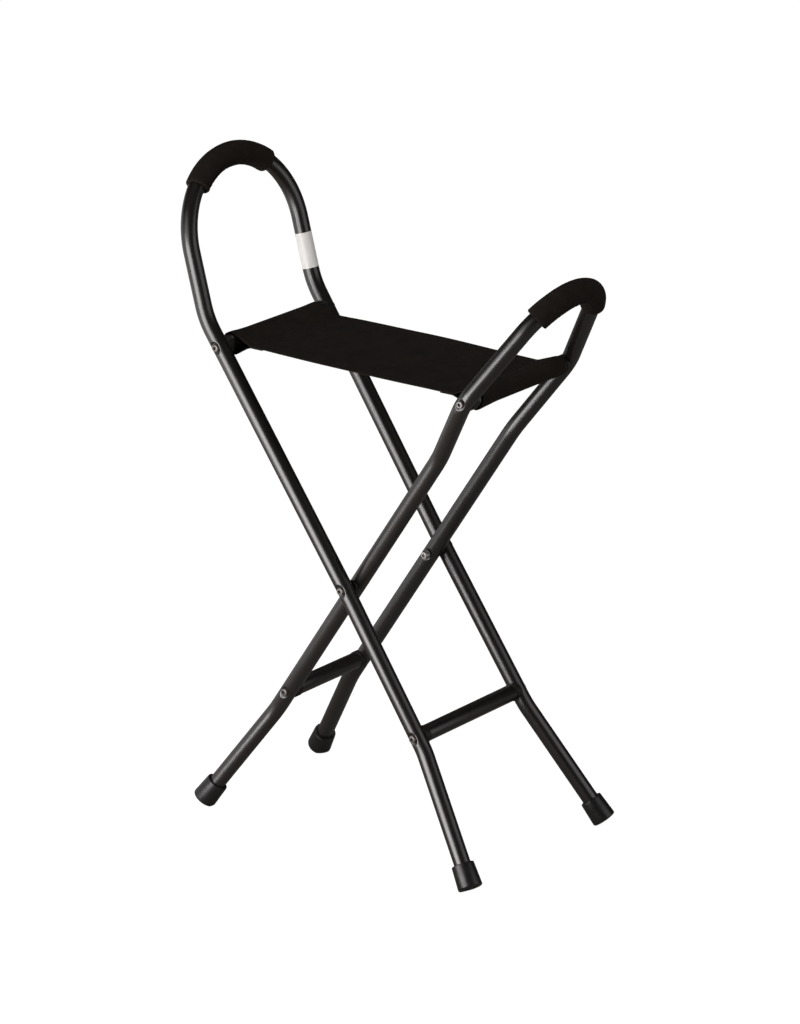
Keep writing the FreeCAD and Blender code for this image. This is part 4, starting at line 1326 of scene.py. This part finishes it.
def shape_cloth(vert):
    """Where the sewing and the pull of the bars leave one point of the cloth."""
    place = vert.co.copy()
    across = place.y / SLING_HALF
    span = max(-1.0, min(1.0, (place.x - span_middle.x) / half_span))
    half = SIDE_HALF + SIDE_BOW * (1 - span ** 2)
    place.y = across * half
    inside = half_span * (1 - abs(span))
    on_panel = smooth_step((inside - PANEL_FROM) / PANEL_EASE)
    place.z -= PANEL_SAG * (1 - span ** 2) * (1 - across ** 2) * on_panel
    for seam in (SLEEVE_NECK, SLEEVE_NECK + HEM):
        fade = math.exp(-(((inside - seam) / PUCKER_FADE) ** 2))
        patch = Vector((place.y * WANDER_ACROSS, seam * WANDER_SEAM, span))
        wander = PUCKER_WANDER * noise.noise(patch)
        place.z += PUCKER_DEPTH * fade * math.sin(math.tau * place.y / PUCKER_LENGTH + wander)
    drift = Vector((place.x * FOLD_ALONG + place.y * FOLD_SLANT, place.y * FOLD_ACROSS, 0.0))
    place.z += FOLD_DEPTH * noise.noise(drift) * on_panel
    return place


for vert in bm.verts:
    vert.co = shape_cloth(vert)
print("cloth bows out", round(SIDE_BOW * 1000, 1), "mm and sags", round(PANEL_SAG * 1000, 1), "mm")

# %% Slacken the sleeves' ends and finish the sling
SLEEVE_SLACK = ((left_bar, 5.5 * MM), (right_bar, 2.6 * MM))
NEAR_SLACK_FROM = 0.55
FAR_SLACK_FROM = 0.7
FAR_SLACK_SHARE = 0.45
SLACK_ABOVE = 0.35
SLEEVE_SHARE = 0.9
RIPPLE_SCALE = 70
RIPPLE_LEAST = 0.75
RIPPLE_SPREAD = 0.5
SMOOTHING = 0.4


def slacken_sleeve(vert, bar, slack):
    """Let the ends of a sleeve stand off its bar, more at the near end and below."""
    arm = Vector((vert.co.x - bar.x, 0, vert.co.z - bar.z))
    if arm.length > SLEEVE_NECK * SLEEVE_SHARE:
        return
    across = -vert.co.y / SIDE_HALF
    near_end = smooth_step((across - NEAR_SLACK_FROM) / (1 - NEAR_SLACK_FROM))
    far_end = smooth_step((-across - FAR_SLACK_FROM) / (1 - FAR_SLACK_FROM))
    below = SLACK_ABOVE + (1 - SLACK_ABOVE) * max(0.0, -arm.normalized().z)
    ripple = RIPPLE_LEAST + RIPPLE_SPREAD * noise.noise(vert.co * RIPPLE_SCALE)
    fade = 1 - smooth_step((arm.length - SLEEVE_RADIUS) / (SLEEVE_NECK - SLEEVE_RADIUS))
    loose = near_end + FAR_SLACK_SHARE * far_end
    vert.co += arm.normalized() * (slack * loose * below * ripple * fade)


for vert in bm.verts:
    for bar, slack in SLEEVE_SLACK:
        slacken_sleeve(vert, bar, slack)
bmesh.ops.smooth_vert(bm, verts=bm.verts, factor=SMOOTHING, use_axis_x=True, use_axis_z=True)
cloth_tree = BVHTree.FromBMesh(bm)
sling = finish_piece("cloth_sling", bm, Matrix(), None, cloth, "sling_fabric", "seat_sling", sharp=70.0)
thickness = sling.modifiers.new("thickness", "SOLIDIFY")
thickness.thickness = CLOTH_THICKNESS
thickness.offset = 0.0
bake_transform(sling)

# %% [markdown]
# # Stitching
# Two rows of stitches cross the panel at each sleeve, seen from above and from below. One stitch is a
# bead of thread with only a few faces. The spin operator repeats it along its row, and each copy is
# dropped on the cloth where a ray finds it. A thicker knot locks both ends of every row.

# %% A row of stitches
STITCH_PITCH = 3.4 * MM
STITCH_LENGTH = 2.7 * MM
THREAD_RADIUS = 0.32 * MM
ROW_MARGIN = 3.0 * MM
PROBE = 60 * MM


def add_bead(bm, middle, thickness, length):
    """A bead of thread that lies across the seat, and its geometry."""
    size = Matrix.Diagonal((thickness, length / 2, thickness, 1))
    place = Matrix.Translation(middle) @ size
    verts = bmesh.ops.create_uvsphere(bm, u_segments=6, v_segments=6, radius=1, matrix=place)["verts"]
    edges = {edge for vert in verts for edge in vert.link_edges}
    faces = {face for vert in verts for face in vert.link_faces}
    return verts + list(edges) + list(faces)


def cloth_height(x, y, face):
    """How high the cloth's upper (1) or lower (-1) side is at a place."""
    hit = cloth_tree.ray_cast(Vector((x, y, left_bar.z + face * PROBE)), -UP * face)[0]
    return hit.z + face * (CLOTH_THICKNESS / 2 + THREAD_RADIUS / 4)


def sew_row(bm, seam_x, face):
    """A row of stitches on one side of the cloth."""
    known = set(bm.verts)
    count = math.floor(2 * (SIDE_HALF - ROW_MARGIN) / STITCH_PITCH)
    first = -(count - 1) / 2 * STITCH_PITCH
    bead = add_bead(bm, (seam_x, first, 0), THREAD_RADIUS, STITCH_LENGTH)
    bmesh.ops.spin(
        bm, geom=bead, cent=NOWHERE, axis=UP, dvec=ACROSS * STITCH_PITCH, angle=0, steps=count - 1,
        use_duplicate=True,
    )
    heights = [cloth_height(seam_x, first + number * STITCH_PITCH, face) for number in range(count)]
    for vert in bm.verts:
        if vert not in known:
            vert.co.z += heights[round((vert.co.y - first) / STITCH_PITCH)]


# %% Sew the sleeves
KNOT_RADIUS = 0.95 * MM
KNOT_OVERHANG = 0.6 * MM
ON_CLOTH = 0.99
SEAM_SETBACKS = (SLEEVE_NECK + 2 * MM, SLEEVE_NECK + HEM - 3 * MM)

sewing = bmesh.new()
for bar, inward in ((left_bar, 1), (right_bar, -1)):
    for setback in SEAM_SETBACKS:
        seam_x = bar.x + inward * setback
        for face in (1, -1):
            sew_row(sewing, seam_x, face)
        for sign in (-1, 1):
            knot_y = sign * (SIDE_HALF + KNOT_OVERHANG)
            upper, lower = (cloth_height(seam_x, knot_y * ON_CLOTH, face) for face in (1, -1))
            add_bead(sewing, (seam_x, knot_y, (upper + lower) / 2), KNOT_RADIUS, 2 * KNOT_RADIUS)
bmesh.ops.recalc_face_normals(sewing, faces=sewing.faces)
stitches = finish_piece("sling_stitches", sewing, Matrix(), None, thread, "sling_fabric", sharp=80.0)
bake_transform(stitches)

# %% [markdown]
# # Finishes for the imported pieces
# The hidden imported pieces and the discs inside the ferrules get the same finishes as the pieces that
# stand for them, so that no part of the model is left plain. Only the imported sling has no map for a
# weave, so it takes the matt skin of the foam.

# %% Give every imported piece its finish
FINISH_OF = {
    "black_tube": paint,
    "black_plastic": plastic,
    "screw_steel": steel,
    "grip_foam": foam,
    "ferrule_rubber": rubber,
    "disc_steel": dull_steel,
    "label_film": film,
    "sling_fabric": foam,
}
for name, item in frame["nodes"].items():
    for slot in item.material_slots:
        wanted = slot.material.name.split(".")[0] if slot.material else ""
        slot.material = FINISH_OF.get(wanted, dull_steel)
    print(name, [slot.material.name for slot in item.material_slots])
